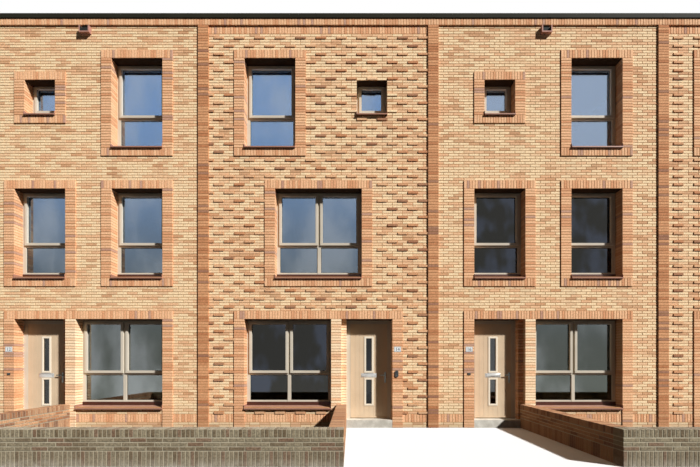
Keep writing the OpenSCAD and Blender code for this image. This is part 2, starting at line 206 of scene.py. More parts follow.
def makeBrickFace():
    tree, given, made = newGroup(
        "brickFace",
        [("Pale", colorSocket, (0.8, 0.6, 0.4, 1)), ("Warm", colorSocket, (0.7, 0.4, 0.3, 1)),
         ("Burnt", colorSocket, (0.3, 0.2, 0.15, 1)), ("Burnt Share", floatSocket, 0.1),
         ("Mottle", floatSocket, 0.3)],
        [("Color", colorSocket), ("Roughness", floatSocket), ("Height", floatSocket)])
    add = nodeAdder(tree)
    own = add("ShaderNodeAttribute", attribute_name="brick")
    parts = add("ShaderNodeSeparateXYZ")
    tree.links.new(own.outputs["Vector"], parts.inputs[0])
    tone, tint, soot = parts.outputs
    base = mixColors(tree, spread(tree, tone, 0.25, 1.1), given.outputs["Pale"], given.outputs["Warm"])
    burnt = calc(tree, "GREATER_THAN", tint, calc(tree, "SUBTRACT", 1.0, given.outputs["Burnt Share"]))
    base = mixColors(tree, calc(tree, "MULTIPLY", burnt, 0.75), base, given.outputs["Burnt"])
    cloud = noiseAt(tree, 38, 3)
    grain = noiseAt(tree, 260, 2)
    shade = calc(tree, "ADD", spread(tree, cloud, 0.3, 0.7, -0.5, 0.5), spread(tree, grain, 0.3, 0.7, -0.25, 0.25))
    shade = calc(tree, "MULTIPLY_ADD", shade, given.outputs["Mottle"], 1.0)
    sideways = partsOf(tree, "ShaderNodeNewGeometry", "True Normal")[0]
    paintedShade = spread(tree, sideways, -0.95, -0.7, 0.75, 0.0)  # painted shade: the faces that look to the left, away from the key light, are darkened
    # from here on the soot mask also carries the painted shade of the left-facing faces
    soot = calc(tree, "MAXIMUM", soot, paintedShade)
    value = add("ShaderNodeHueSaturation")
    tree.links.new(base, value.inputs["Color"])
    tree.links.new(shade, value.inputs["Value"])
    # real soot and the painted shade both darken toward this brown-black
    sootAndPaintedShade = mixColors(tree, calc(tree, "MULTIPLY", soot, spread(tree, cloud, 0.25, 0.75, 0.3, 0.9)),
                      value.outputs["Color"], (0.16, 0.12, 0.085, 1))
    tree.links.new(sootAndPaintedShade, made.inputs["Color"])
    tree.links.new(spread(tree, grain, 0.2, 0.8, 0.78, 0.95), made.inputs["Roughness"])
    tree.links.new(calc(tree, "MULTIPLY_ADD", cloud, 0.6, grain), made.inputs["Height"])
    return tree


def makeSpeckle():  # even materials: mortar, block, plaster, stone, roofing
    tree, given, made = newGroup(
        "speckle",
        [("Base", colorSocket, (0.7, 0.7, 0.7, 1)), ("Fleck", colorSocket, (0.4, 0.4, 0.4, 1)),
         ("Cloud Size", floatSocket, 2.0), ("Grain Size", floatSocket, 120.0),
         ("Cloud", floatSocket, 0.3), ("Grain", floatSocket, 0.3),
         ("Low Roughness", floatSocket, 0.6), ("High Roughness", floatSocket, 0.9)],
        [("Color", colorSocket), ("Roughness", floatSocket), ("Height", floatSocket)])
    clouds = noiseAt(tree, 1, 3)
    grains = noiseAt(tree, 1, 2)
    for fac, label in ((clouds, "Cloud Size"), (grains, "Grain Size")):
        tree.links.new(given.outputs[label], fac.node.inputs["Scale"])
    mask = calc(tree, "ADD",
                calc(tree, "MULTIPLY", spread(tree, clouds, 0.35, 0.7), given.outputs["Cloud"]),
                calc(tree, "MULTIPLY", spread(tree, grains, 0.45, 0.75), given.outputs["Grain"]))
    tree.links.new(mixColors(tree, mask, given.outputs["Base"], given.outputs["Fleck"]), made.inputs["Color"])
    roughness = tree.nodes.new("ShaderNodeMapRange")
    tree.links.new(grains, roughness.inputs[0])
    tree.links.new(given.outputs["Low Roughness"], roughness.inputs[3])
    tree.links.new(given.outputs["High Roughness"], roughness.inputs[4])
    tree.links.new(roughness.outputs[0], made.inputs["Roughness"])
    tree.links.new(calc(tree, "MULTIPLY_ADD", clouds, 0.3, grains), made.inputs["Height"])
    return tree


def makeDust():  # pale dust that settles low down and on upward faces
    tree, given, made = newGroup(
        "settledDust",
        [("Color", colorSocket, (0.5, 0.5, 0.5, 1)), ("Amount", floatSocket, 0.3), ("Reach", floatSocket, 0.6)],
        [("Color", colorSocket), ("Mask", floatSocket)])
    height = partsOf(tree, "ShaderNodeTexCoord", "Object")[2]
    upward = partsOf(tree, "ShaderNodeNewGeometry", "Normal")[2]
    low = calc(tree, "SUBTRACT", 1.0, calc(tree, "DIVIDE", height, given.outputs["Reach"]))
    low = calc(tree, "MAXIMUM", low, spread(tree, upward, 0.4, 0.95, 0.0, 0.8))
    patchy = spread(tree, noiseAt(tree, 9, 4), 0.35, 0.7, 0.25, 1.0)
    mask = calc(tree, "MULTIPLY", calc(tree, "MAXIMUM", low, 0.0), patchy)
    mask = calc(tree, "MULTIPLY", mask, given.outputs["Amount"])
    tree.links.new(mixColors(tree, mask, given.outputs["Color"], (0.47, 0.42, 0.34, 1)), made.inputs["Color"])
    tree.links.new(mask, made.inputs["Mask"])
    return tree


groups = {"brickFace": makeBrickFace(), "speckle": makeSpeckle(), "settledDust": makeDust()}


def newMaterial(name):
    material = bpy.data.materials.new(name)
    material.use_nodes = True
    return material, material.node_tree, material.node_tree.nodes["Principled BSDF"]


def newFinish(name, group, values, bump=0.2, distance=0.002, dust=None, metallic=0.0, coat=0.0, shine=0.15):
    material, tree, shader = newMaterial(name)
    shader.inputs["Metallic"].default_value = metallic
    shader.inputs["Coat Weight"].default_value = coat
    shader.inputs["Specular IOR Level"].default_value = shine
    looks = tree.nodes.new("ShaderNodeGroup")
    looks.node_tree = groups[group]
    for label, value in values.items():
        looks.inputs[label].default_value = value
    color = looks.outputs["Color"]
    if dust:
        settled = tree.nodes.new("ShaderNodeGroup")
        settled.node_tree = groups["settledDust"]
        settled.inputs["Amount"].default_value, settled.inputs["Reach"].default_value = dust
        tree.links.new(color, settled.inputs["Color"])
        color = settled.outputs["Color"]
    tree.links.new(color, shader.inputs["Base Color"])
    tree.links.new(looks.outputs["Roughness"], shader.inputs["Roughness"])
    relief = tree.nodes.new("ShaderNodeBump")
    relief.inputs["Strength"].default_value = bump
    relief.inputs["Distance"].default_value = distance
    tree.links.new(looks.outputs["Height"], relief.inputs["Height"])
    tree.links.new(relief.outputs["Normal"], shader.inputs["Normal"])
    return material


def rgb(red, green, blue):  # a colour as it is seen, 0 to 255, turned into the linear one
    return tuple(c / 12.92 if c <= 0.04045 else ((c + 0.055) / 1.055) ** 2.4
                 for c in (red / 255, green / 255, blue / 255)) + (1,)


def brickTones(pale, warm, burnt, share, mottle):
    return {"Pale": rgb(*pale), "Warm": rgb(*warm), "Burnt": rgb(*burnt), "Burnt Share": share, "Mottle": mottle}


def evenTones(base, fleck, sizes, amounts, bump, distance, rough=(0.6, 0.9), **rest):
    labels = ("Base", "Fleck", "Cloud Size", "Grain Size", "Cloud", "Grain", "Low Roughness", "High Roughness")
    values = (rgb(*base), rgb(*fleck), *sizes, *amounts, *rough)
    return dict(values=dict(zip(labels, values)), bump=bump, distance=distance, **rest)


brickColors = {  # pale, warm and burnt bricks, share of burnt ones, mottling
    "buff": brickTones((246, 216, 173), (230, 180, 138), (200, 148, 108), 0.08, 0.30),
    "relief": brickTones((222, 174, 132), (194, 133, 93), (152, 104, 78), 0.15, 0.35),
    "red": brickTones((238, 187, 144), (215, 153, 111), (178, 140, 124), 0.08, 0.30),
    "pier": brickTones((213, 156, 112), (184, 121, 81), (146, 106, 88), 0.10, 0.30),
    # pale bricks of the middle piers, also laid on the patterned houses' door cheeks as painted sunlight
    "pillar": brickTones((252, 224, 186), (244, 194, 150), (224, 172, 134), 0.06, 0.22),
    # redder bricks for the garden side walls, made lighter as painted light on their shaded faces
    "gardenSide": brickTones((196, 150, 112), (164, 110, 74), (124, 86, 66), 0.15, 0.45),
    "garden": brickTones((140, 128, 104), (108, 92, 70), (122, 94, 74), 0.12, 0.55),
    "block": brickTones((213, 210, 201), (203, 199, 189), (193, 188, 178), 0.05, 0.10),
}
evenLooks = {  # ground colour, flecks, sizes and amounts of clouds and grains, bump, its depth, roughness
    "mortar": evenTones((178, 133, 84), (140, 99, 57), (3.0, 300.0), (0.3, 0.4), 0.4, 0.0015),
    "paleMortar": evenTones((176, 166, 142), (128, 120, 100), (3.0, 300.0), (0.5, 0.4), 0.4, 0.0015,
        dust=(0.3, 0.5)),
    "plaster": evenTones((218, 215, 206), (198, 194, 184), (0.8, 90.0), (0.4, 0.2), 0.1, 0.001),
    "bitumen": evenTones((74, 74, 72), (112, 110, 104), (0.5, 420.0), (0.25, 0.5), 0.5, 0.002),
    "stepStone": evenTones((224, 219, 206), (152, 146, 132), (5.0, 220.0), (0.5, 0.4), 0.25, 0.0015,
        dust=(0.4, 0.3)),
    "trimCoat": evenTones((32, 31, 23), (46, 44, 34), (1.1, 500.0), (0.5, 0.2), 0.05, 0.0005, (0.55, 0.7),
        shine=0.06),
    "sillCoat": evenTones((164, 118, 98), (144, 98, 80), (3.0, 400.0), (0.4, 0.2), 0.06, 0.0005, (0.32, 0.5),
        dust=(0.25, 0.1), shine=0.3),
    # a darker copy of the sill's coat: painted shade on the strips over each frame's foot
    "sillShade": evenTones((66, 32, 22), (86, 48, 34), (3.0, 400.0), (0.4, 0.2), 0.05, 0.0005, (0.34, 0.5),
        shine=0.3),
    "beadCoat": evenTones((236, 224, 202), (218, 205, 183), (2.0, 600.0), (0.4, 0.2), 0.05, 0.0004,
        (0.34, 0.48), shine=0.12),
    "inkBlue": evenTones((46, 56, 74), (66, 76, 92), (30.0, 300.0), (0.3, 0.2), 0.03, 0.0003, (0.25, 0.4),
        coat=0.3, shine=0.5),
    "frameCoat": evenTones((203, 193, 175), (184, 174, 157), (2.0, 600.0), (0.4, 0.2), 0.05, 0.0004,
        (0.34, 0.48), dust=(0.15, 0.1), shine=0.12),
    "doorCoat": evenTones((212, 188, 157), (192, 169, 140), (2.5, 500.0), (0.4, 0.25), 0.06, 0.0005,
        (0.36, 0.52), dust=(0.3, 0.6), shine=0.12),
    "gasket": evenTones((34, 34, 32), (52, 51, 48), (4.0, 300.0), (0.3, 0.2), 0.05, 0.0005),
    "spoutCoat": evenTones((186, 140, 126), (156, 108, 92), (6.0, 300.0), (0.5, 0.3), 0.15, 0.001, (0.5, 0.7)),
    # near-black coat of the lintel plates, which also paints the soffits' shade
    "lintelSteelAndShade": evenTones((50, 36, 25), (72, 52, 38), (4.0, 260.0), (0.5, 0.3), 0.1, 0.0006, (0.6, 0.85),
        shine=0.05),
    "satinSteel": evenTones((196, 195, 191), (166, 165, 161), (12.0, 900.0), (0.4, 0.3), 0.04, 0.0003,
        (0.26, 0.4), metallic=1.0, shine=0.5),
    # dark steel: the bell buttons' own colour, and on the door furniture a painted shade that dims the levers
    "darkSteelAndShade": evenTones((92, 94, 90), (74, 76, 72), (12.0, 900.0), (0.4, 0.3), 0.04, 0.0003, (0.3, 0.45),
        metallic=1.0, shine=0.5),
    "enamel": evenTones((226, 228, 224), (204, 206, 200), (20.0, 300.0), (0.3, 0.15), 0.03, 0.0003, (0.2, 0.32),
        coat=0.4, shine=0.5),
    "blackPlastic": evenTones((34, 34, 34), (58, 57, 55), (20.0, 500.0), (0.3, 0.3), 0.08, 0.0004, (0.4, 0.6),
        shine=0.5),
}
finish = {name + "Brick": newFinish(name + "Brick", "brickFace", values, bump=0.55, distance=0.003,
                                    dust=(0.75, 0.12) if name == "garden" else None)
          for name, values in brickColors.items()}
finish.update({name: newFinish(name, "speckle", **look) for name, look in evenLooks.items()})


def makeRoomFinish():  # oak boards on upward faces, plaster on the rest of a floor slab
    material, tree, shader = newMaterial("roomFinish")
    add = nodeAdder(tree)
    top = spread(tree, partsOf(tree, "ShaderNodeNewGeometry", "Normal")[2], 0.5, 0.6)
    place, boards = add("ShaderNodeTexCoord"), add("ShaderNodeTexBrick", offset=0.37)
    tree.links.new(place.outputs["Object"], boards.inputs["Vector"])
    for label, value in {"Color1": rgb(164, 128, 90), "Color2": rgb(134, 100, 68), "Mortar": rgb(60, 44, 30),
                         "Scale": 1.0, "Mortar Size": 0.002, "Brick Width": 1.8, "Row Height": 0.14}.items():
        boards.inputs[label].default_value = value
    figure = mixColors(tree, spread(tree, noiseAt(tree, 6, 5, (1, 14, 1)), 0.3, 0.7, 0.0, 0.4),
                       boards.outputs["Color"], rgb(110, 80, 52))
    tree.links.new(mixColors(tree, top, rgb(222, 220, 212), figure), shader.inputs["Base Color"])
    tree.links.new(spread(tree, noiseAt(tree, 30, 2), 0.3, 0.7, 0.45, 0.7), shader.inputs["Roughness"])
    return material


def makeGlass(name, high, low, reach, coating, ior):  # the tint, a painted reflection, goes from low to high over the reach, in metres; painted dark and pale reflections go over it
    material, tree, shader = newMaterial(name)
    shader.inputs["Transmission Weight"].default_value = 1.0
    shader.inputs["Metallic"].default_value = coating
    shader.inputs["IOR"].default_value = ior
    across, depth, height = partsOf(tree, "ShaderNodeTexCoord", "Object")
    middle = calc(tree, "MULTIPLY", spread(tree, height, 2.7, 3.0), spread(tree, height, 5.2, 6.0, 1.0, 0.0))
    right = calc(tree, "MULTIPLY", spread(tree, across, 0.0, 0.3), middle)
    lowest = calc(tree, "MULTIPLY", spread(tree, across, -4.9, -4.6), spread(tree, across, -0.3, 0.0, 1.0, 0.0))
    lowest = calc(tree, "MULTIPLY", lowest, spread(tree, height, 2.6, 2.9, 1.0, 0.0))
    dark = calc(tree, "MAXIMUM", right, lowest)  # panes with a painted dark reflection
    dark = calc(tree, "MULTIPLY", dark, spread(tree, depth, -1.0, 1.0, 1.0, 0.0))
    # tint: a painted reflection whose colour is set by height
    tint = mixColors(tree, spread(tree, height, *reach), low, high)
    # pale painted reflection over the panes, stronger on the top-floor panes right of the middle
    paintedFilm = spread(tree, noiseAt(tree, 1.3, 3, (1, 1, 0.5)), 0.35, 0.7, 0.0, 0.35)
    paintedPalePanes = calc(tree, "MULTIPLY", spread(tree, across, 0.0, 0.3, 0.0, 0.45), spread(tree, height, 5.6, 6.1))
    paintedFilm = calc(tree, "MAXIMUM", paintedFilm, paintedPalePanes)
    tint = mixColors(tree, paintedFilm, tint, (0.75, 0.80, 0.84, 1))
    # patches: a dark painted reflection with bluish patches, for the panes with a dark reflection
    patches = mixColors(tree, spread(tree, noiseAt(tree, 2.2, 2, (1, 1, 0.6)), 0.42, 0.62), (0.02, 0.02, 0.015, 1),
                        (0.06, 0.075, 0.11, 1))
    tree.links.new(mixColors(tree, dark, tint, patches), shader.inputs["Base Color"])
    tree.links.new(spread(tree, noiseAt(tree, 14, 3), 0.4, 0.8, 0.01, 0.04), shader.inputs["Roughness"])
    return material


def makeRearFinish():  # mortar behind the bricks, plaster on the room's side
    material = newFinish("rearWall", "speckle", **evenLooks["mortar"])
    tree, color = material.node_tree, material.node_tree.nodes["Principled BSDF"].inputs["Base Color"]
    patches = spread(tree, noiseAt(tree, 1.1, 3), 0.35, 0.7)
    plaster = mixColors(tree, patches, rgb(218, 215, 206), rgb(204, 200, 190))
    outside = spread(tree, partsOf(tree, "ShaderNodeTexCoord", "Object")[1], 4.32, 4.33)
    tree.links.new(mixColors(tree, outside, plaster, color.links[0].from_socket), color)
    return material


finish["rearWall"] = makeRearFinish()
finish["roomFinish"] = makeRoomFinish()
# the glass colours are painted reflections: sky-blue high up and dark grey-green low down for the windows, dark grey
# for the door lights
finish["windowGlass"] = makeGlass("windowGlass", (0.30, 0.50, 0.82, 1), (0.13, 0.15, 0.13, 1), (1.5, 7.1), 0.42, 1.5)
finish["doorGlass"] = makeGlass("doorGlass", (0.16, 0.17, 0.16, 1), (0.10, 0.11, 0.10, 1), (0, 3), 0.1, 1.45)


def dress(finishName, *names):  # a CAD node keeps its shape and takes a finish
    for name in names:
        data = nodes[name].data
        for index in range(max(1, len(data.materials))):
            if data.materials:
                data.materials[index] = finish[finishName]
            else:
                data.materials.append(finish[finishName])


dress("mortar", "front_piers", "top_band", "facing_bands", "facing_panels", "facing_infills", "surround_sides",
      "surround_heads", "surround_feet", "door_cheeks")
dress("rearWall", "rear_wall_bands", "rear_wall_panels", "rear_wall_aprons")
dress("plaster", "party_walls", "front_wall_bands", "front_wall_panels", "front_wall_infills")
dress("roomFinish", "floors")
dress("bitumen", "roof_deck")
dress("trimCoat", "roof_trim")
dress("sillCoat", "window_sills")
dress("frameCoat", "window_stiles", "window_rails", "door_posts", "door_heads")
dress("windowGlass", "window_panes")
dress("stepStone", "doorsteps", "thresholds")
dress("satinSteel", "door_hinges")
dress("spoutCoat", "rain_spouts")
dress("enamel", "number_plates")
dress("blackPlastic", "bell_pushes")
dress("mortar", "garden_front_walls", "garden_side_walls")
for number in range(1, 5):
    dress("doorCoat", f"door_leaf_{number}")
    dress("doorGlass", f"door_lights_{number}")
    dress("satinSteel", f"door_fittings_{number}")
print("finishes made")


def makeBrickLayer():  # geometry nodes: one brick on each point, sized by the point
    tree = bpy.data.node_groups.new("brickLayer", "GeometryNodeTree")
    tree.interface.new_socket("Geometry", in_out="INPUT", socket_type="NodeSocketGeometry")
    brickSocket = tree.interface.new_socket("Brick", in_out="INPUT", socket_type="NodeSocketObject")
    tree.interface.new_socket("Geometry", in_out="OUTPUT", socket_type="NodeSocketGeometry")
    add = nodeAdder(tree)
    given, made = add("NodeGroupInput"), add("NodeGroupOutput")
    shape = add("GeometryNodeObjectInfo")
    laid, joined = add("GeometryNodeInstanceOnPoints"), add("GeometryNodeRealizeInstances")
    tree.links.new(given.outputs["Brick"], shape.inputs["Object"])
    tree.links.new(given.outputs["Geometry"], laid.inputs["Points"])
    tree.links.new(shape.outputs["Geometry"], laid.inputs["Instance"])
    for name, target in (("size", "Scale"), ("turn", "Rotation")):
        own = add("GeometryNodeInputNamedAttribute", data_type="FLOAT_VECTOR")
        own.inputs["Name"].default_value = name
        tree.links.new(own.outputs["Attribute"], laid.inputs[target])
    tree.links.new(laid.outputs["Instances"], joined.inputs["Geometry"])
    tree.links.new(joined.outputs["Geometry"], made.inputs["Geometry"])
    return tree, brickSocket.identifier


brickLayer, brickInput = makeBrickLayer()


def meshOf(bm, name):
    data = bpy.data.meshes.new(name)
    bm.to_mesh(data)
    bm.free()
    return data


def makeBrickShape(name, size, arris, everyEdge=False):
    bm = bmesh.new()
    bmesh.ops.create_cube(bm, size=1)
    bmesh.ops.scale(bm, vec=size, verts=bm.verts)
    worn = [e for e in bm.edges if everyEdge or all(v.co.y < 0 for v in e.verts)]
    if arris:
        bmesh.ops.bevel(bm, geom=worn, offset=arris, affect="EDGES", segments=1, profile=0.5, material=-1)
    bmesh.ops.scale(bm, vec=[1 / s for s in size], verts=bm.verts)
    return bpy.data.objects.new(name, meshOf(bm, name))


# Brick shapes are kept one metre each way and sized by the point that they lie on
brickShapes = {
    "stretcher": makeBrickShape("stretcherShape", (0.208, 0.03, 0.048), 0.003),
    "deep": makeBrickShape("deepShape", (0.216, 0.23, 0.048), 0.003),
    "upright": makeBrickShape("uprightShape", (0.048, 0.03, 0.165), 0.003),
    "deepUpright": makeBrickShape("deepUprightShape", (0.048, 0.23, 0.165), 0.003),
    "loose": makeBrickShape("looseShape", (0.208, 0.208, 0.049), 0.004, everyEdge=True),
    "looseUpright": makeBrickShape("looseUprightShape", (0.049, 0.208, 0.150), 0.004, everyEdge=True),
    "block": makeBrickShape("blockShape", (0.434, 0.03, 0.216), 0.004),
}


def layBricks(name, bricks, shape, finishName, turn=0.0, wobble=0.0008):
    chance = random.Random(name)
    bm = bmesh.new()
    size, angle, own = (bm.verts.layers.float_vector.new(key) for key in ("size", "turn", "brick"))
    for brick in bricks:
        low, high = Vector(brick["low"]), Vector(brick["high"])
        shake = Vector([chance.uniform(-wobble, wobble) for _ in range(3)])
        shake.y *= 1.4
        point = bm.verts.new((low + high) / 2 + (Vector() if brick.get("tight") else shake))
        extent = high - low
        if turn in (90, -90):
            extent = Vector((extent.y, extent.x, extent.z))
        point[size] = extent
        lean = 0 if brick.get("tight") or not wobble else chance.gauss(0, 0.0018)
        point[angle] = (lean, 0, math.radians(turn) + lean * 0.6)
        point[own] = (chance.random(), chance.random(), brick.get("soot", 0.0))
    data = meshOf(bm, name + "Points")
    piece = bpy.data.objects.new(name, data)
    scene.collection.objects.link(piece)
    modifier = piece.modifiers.new("lay", "NODES")
    modifier.node_group = brickLayer
    modifier[brickInput] = brickShapes[shape]
    solid = bpy.data.meshes.new_from_object(piece.evaluated_get(bpy.context.evaluated_depsgraph_get()))
    piece.modifiers.clear()
    piece.data = solid
    bpy.data.meshes.remove(data)
    solid.name = name
    for key in ("size", "turn"):
        if key in solid.attributes:
            solid.attributes.remove(solid.attributes[key])
    solid.materials.clear()
    solid.materials.append(finish[finishName])
    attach(piece, "row")
    print(name, len(bricks), "bricks")
    return piece


def fading(strength, distance, reach):  # a mark that pales away from where it starts
    return max(0.0, strength * (1 - distance / reach))


def sootAt(house, x, z, side="Front"):  # rain marks under sills and at the foot of the wall
    mark = fading(0.45, z, 0.5) + fading(0.16, wallTop - z, 0.5)
    for storey in range(3):
        for left, right, sill, head, wings, framed in windowsOf(house, storey, side):
            below = upTo(storey * grid["storey"] + sill) - z
            if 0 < below < 1.1:
                for n in (left, right):
                    near = 1 - abs(x - along(house, n)) / 0.14
                    mark = max(mark, 0.28 * near * (1 - below / 1.1))
    return mark


def cutBy(a, b, gaps):  # what is left of a stretch beside the gaps, with the gaps' kinds at its ends
    runs = [(a, b, None, None)]
    for left, right, kind in gaps:
        kept = []
        for p, q, atP, atQ in runs:
            if right <= p or left >= q:
                if right == p:
                    atP = kind
                if left == q:
                    atQ = kind
                kept.append((p, q, atP, atQ))
                continue
            if left > p:
                kept.append((p, left, atP, kind))
            if right < q:
                kept.append((right, q, kind, atQ))
        runs = kept
    return runs


relief = {
    "every": 3,         # courses from one patterned row to the next
    "first": 3,
    "last": 141,
    "out": 0.0165,      # how far the patterned bricks stand out
}


def fieldOf(house):
    plain = isPlain(house)
    joint, bed, lap = grid["joint"] / 2, grid["bed"] / 2, grid["lap"]
    porch, window = openings["porch"], windowsOf(house, 0)[0]
    gaps = [(porch[0], window[0], -2, 41, "surround"), (window[1], porch[1], -2, 41, "surround"),
            (window[0], window[1], 5, 41, "surround")]  # left, right, low course, high course, kind
    for storey in (1, 2):
        base = storey * grid["storey"]
        for left, right, sill, head, wings, framed in windowsOf(house, storey):
            if framed:
                gaps.append((left - 2, right + 2, base + sill - 3, base + head + 3, "surround"))
            else:
                gaps.append((left, right, base + sill, base + head, "hole"))
    flat, deep, patterned, uprights = [], [], [], []
    face = frontY - grid["proud"]
    soldierRows = [(0, 3)] if plain else [(0, 3), (143, 146)]
    for low, high in soldierRows:
        here = [(l, r, k) for l, r, lo, hi, k in gaps if lo < high and hi > low]
        for p, q, atP, atQ in cutBy(0, grid["field"], here):
            uprights += uprightRow(along(house, p), along(house, q), upTo(low), upTo(high), face, frontY + 0.02)
    for course in range(-2, grid["band"]):
        if any(low <= course < high for low, high in soldierRows):
            continue
        here = [(l, r, k) for l, r, lo, hi, k in gaps if lo <= course < hi]
        under = [(l, r) for l, r, lo, hi, k in gaps if hi == course and k == "hole"]
        row = course % relief["every"] == 0 and relief["first"] <= course <= relief["last"]
        startsHalf = course % 2 == 1 if plain else course % relief["every"] == 0
        starts = ([0] if startsHalf else []) + list(range(1 if startsHalf else 0, grid["field"], 2))
        for start in starts:
            end = 1 if startsHalf and start == 0 else min(start + 2, grid["field"])
            for p, q, atP, atQ in cutBy(start, end, here):
                holes = atP == "hole" or atQ == "hole"
                above = any(l < q and r > p for l, r in under)
                x0 = along(house, p) + (-lap if atP == "hole" else joint)
                x1 = along(house, q) + (lap if atQ == "hole" else -joint)
                z0 = upTo(course) + (-lap if above else bed)
                z1 = upTo(course + 1) - bed
                out = 0.0
                if row and not plain and standsOut(house, course, p, q):
                    out = relief["out"]
                brick = {"low": (x0, face - out, z0), "high": (x1, frontY + 0.02, z1),
                         "soot": sootAt(house, (x0 + x1) / 2, z0), "tight": holes or above}
                if holes or above:
                    brick["high"] = (x1, innerY, z1)
                    deep.append(brick)
                elif out:
                    patterned.append(brick)
                else:
                    flat.append(brick)
    return flat, deep, patterned, uprights


def standsOut(house, course, p, q):
    oddRow = course // relief["every"] % 2 == 1
    if q - p == 2:
        odd = (p + 1) // 2 % 2 == 1
        return odd if house == 3 else odd == oddRow
    if p == 0:
        return house != 3 and not oddRow
    return p == 38 and (house == 3 or oddRow)  # beside the porch the cut halves stand out too


def uprightRow(x0, x1, z0, z1, face, back, under=False, ends=(True, True), soot=0.0):
    count = max(1, round((x1 - x0) / grid["course"]))
    step, joint, lap = (x1 - x0) / count, grid["joint"] / 2, grid["lap"]
    bricks = []
    for k in range(count):
        a = x0 + k * step + (-lap if k == 0 and ends[0] else joint)
        b = x0 + (k + 1) * step + (lap if k == count - 1 and ends[1] else -joint)
        bricks.append({"low": (a, face, z0 - lap if under else z0 + joint), "high": (b, back, z1 - joint),
                       "soot": soot, "tight": k in (0, count - 1)})
    return bricks


for house in range(4):
    flat, deep, patterned, uprights = fieldOf(house)
    layBricks(f"field_bricks_{house + 1}", flat, "stretcher", "buffBrick")
    if patterned:
        layBricks(f"relief_bricks_{house + 1}", patterned, "stretcher", "reliefBrick")
    if deep:
        layBricks(f"reveal_bricks_{house + 1}", deep, "deep", "buffBrick")
    layBricks(f"soldier_bricks_{house + 1}", uprights, "upright", "redBrick")


def stackedColumn(x0, x1, low, high, face, back):
    joint, lap = grid["bed"] / 2, grid["lap"]
    return [{"low": (x0 - lap, face, max(0.0, upTo(c) + joint)), "high": (x1 + lap, back, upTo(c + 1) - joint),
             "soot": fading(0.3, upTo(c), 0.5), "tight": False} for c in range(low, high)]


def surroundsOf(house):
    stacks, pillarsAndLitCheeks, uprights = [], [], []
    face, head = surroundY - grid["proud"], grid["head"]
    door = doorwayOf(house)
    for left, right in ((5, 7), middlePierOf(house), (36, 38)):
        atDoor = left == door[1] or right == door[0]
        column = pillarsAndLitCheeks if (left, right) == middlePierOf(house) else stacks
        back = doorFrameY if atDoor else innerY
        column += stackedColumn(along(house, left), along(house, right), -2, head, face, back)
    left, right = cheekOf(house)
    # the patterned houses' door cheeks take the pale pillar bricks as painted sunlight; the plain houses' cheeks
    # keep the red ones
    column = stacks if isPlain(house) else pillarsAndLitCheeks
    column += stackedColumn(along(house, left), along(house, right), -2, head, cheekY - grid["proud"], doorFrameY)
    x0, x1 = (along(house, n) for n in openings["porch"])
    uprights += uprightRow(x0, x1, upTo(head), upTo(head + 3), face, innerY, under=True)
    for storey in (1, 2):
        base = storey * grid["storey"]
        for left, right, sill, head, wings, framed in windowsOf(house, storey):
            if not framed:
                continue
            for n in (left - 2, right):
                stacks += stackedColumn(along(house, n), along(house, n + 2), base + sill, base + head, face, innerY)
            x0, x1 = along(house, left - 2), along(house, right + 2)
            uprights += uprightRow(x0, x1, upTo(base + head), upTo(base + head + 3), face, innerY, under=True)
            uprights += uprightRow(x0, x1, upTo(base + sill - 3), upTo(base + sill), face, innerY, soot=0.08)
    return stacks, pillarsAndLitCheeks, uprights


for house in range(4):
    stacks, pillarsAndLitCheeks, uprights = surroundsOf(house)
    layBricks(f"pillar_stacks_{house + 1}", pillarsAndLitCheeks, "deep", "pillarBrick", wobble=0.0006)
    layBricks(f"surround_stacks_{house + 1}", stacks, "deep", "redBrick", wobble=0.0006)
    layBricks(f"surround_uprights_{house + 1}", uprights, "deepUpright", "redBrick", wobble=0.0006)

pierStacks = []
for k in range(5):
    x = (k - 2) * grid["pitch"]
    pierStacks += stackedColumn(x - grid["half"], x + grid["half"], -2, grid["band"], pierY - grid["proud"],
                                innerY if k in (0, 4) else frontY + 0.02)
layBricks("pier_stacks", pierStacks, "deep", "pierBrick", wobble=0.0006)
topBand = uprightRow(-rowX, rowX, upTo(grid["band"]), wallTop, pierY - grid["proud"], innerY, under=True, soot=0.12)
layBricks("top_band_uprights", topBand, "deepUpright", "redBrick", wobble=0.0006)
print("front laid")


def rearHoles():  # in half bricks from the row's middle: left, right, sill, head
    holes = []
    for house in range(4):
        for storey in range(3):
            for left, right, sill, head, wings, framed in windowsOf(house, storey, "Rear"):
                first = (house - 2) * (grid["field"] + 2) + 1
                base = storey * grid["storey"]
                holes.append((first + left, first + right, base + sill, base + head))
    return holes


def rearBricks():
    holes, half, edge = rearHoles(), grid["half"], 2 * (grid["field"] + 2) + 1
    joint, bed, lap = grid["joint"] / 2, grid["bed"] / 2, grid["lap"]
    face, back, frameAt = rearY + grid["proud"], rearY - 0.02, -innerY
    plain, deep, heads = [], [], []
    for left, right, sill, head in holes:
        heads += uprightRow((left - 1) * half, (right + 1) * half, upTo(head), upTo(head + 3), frameAt, face,
                            under=True, soot=0.05)
    for course in range(-2, grid["top"]):
        here = [(l, r, "hole") for l, r, lo, hi in holes if lo <= course < hi]
        here += [(l - 1, r + 1, "head") for l, r, lo, hi in holes if hi <= course < hi + 3]
        odd = course % 2
        starts = ([-edge] if odd else []) + list(range(-edge + odd, edge, 2))
        for start in starts:
            end = start + 1 if odd and start == -edge else min(start + 2, edge)
            for p, q, atP, atQ in cutBy(start, end, here):
                corner = p == -edge or q == edge
                x0 = p * half + (-lap if atP == "hole" or p == -edge else joint)
                x1 = q * half + (lap if atQ == "hole" or q == edge else -joint)
                beside = "hole" in (atP, atQ)
                brick = {"low": (x0, frameAt if beside or corner else back, upTo(course) + bed),
                         "high": (x1, face, upTo(course + 1) - bed), "tight": beside or corner,
                         "soot": fading(0.3, upTo(course), 0.5) + rearSoot(p, course, holes)}
                (deep if beside or corner else plain).append(brick)
    return plain, deep, heads


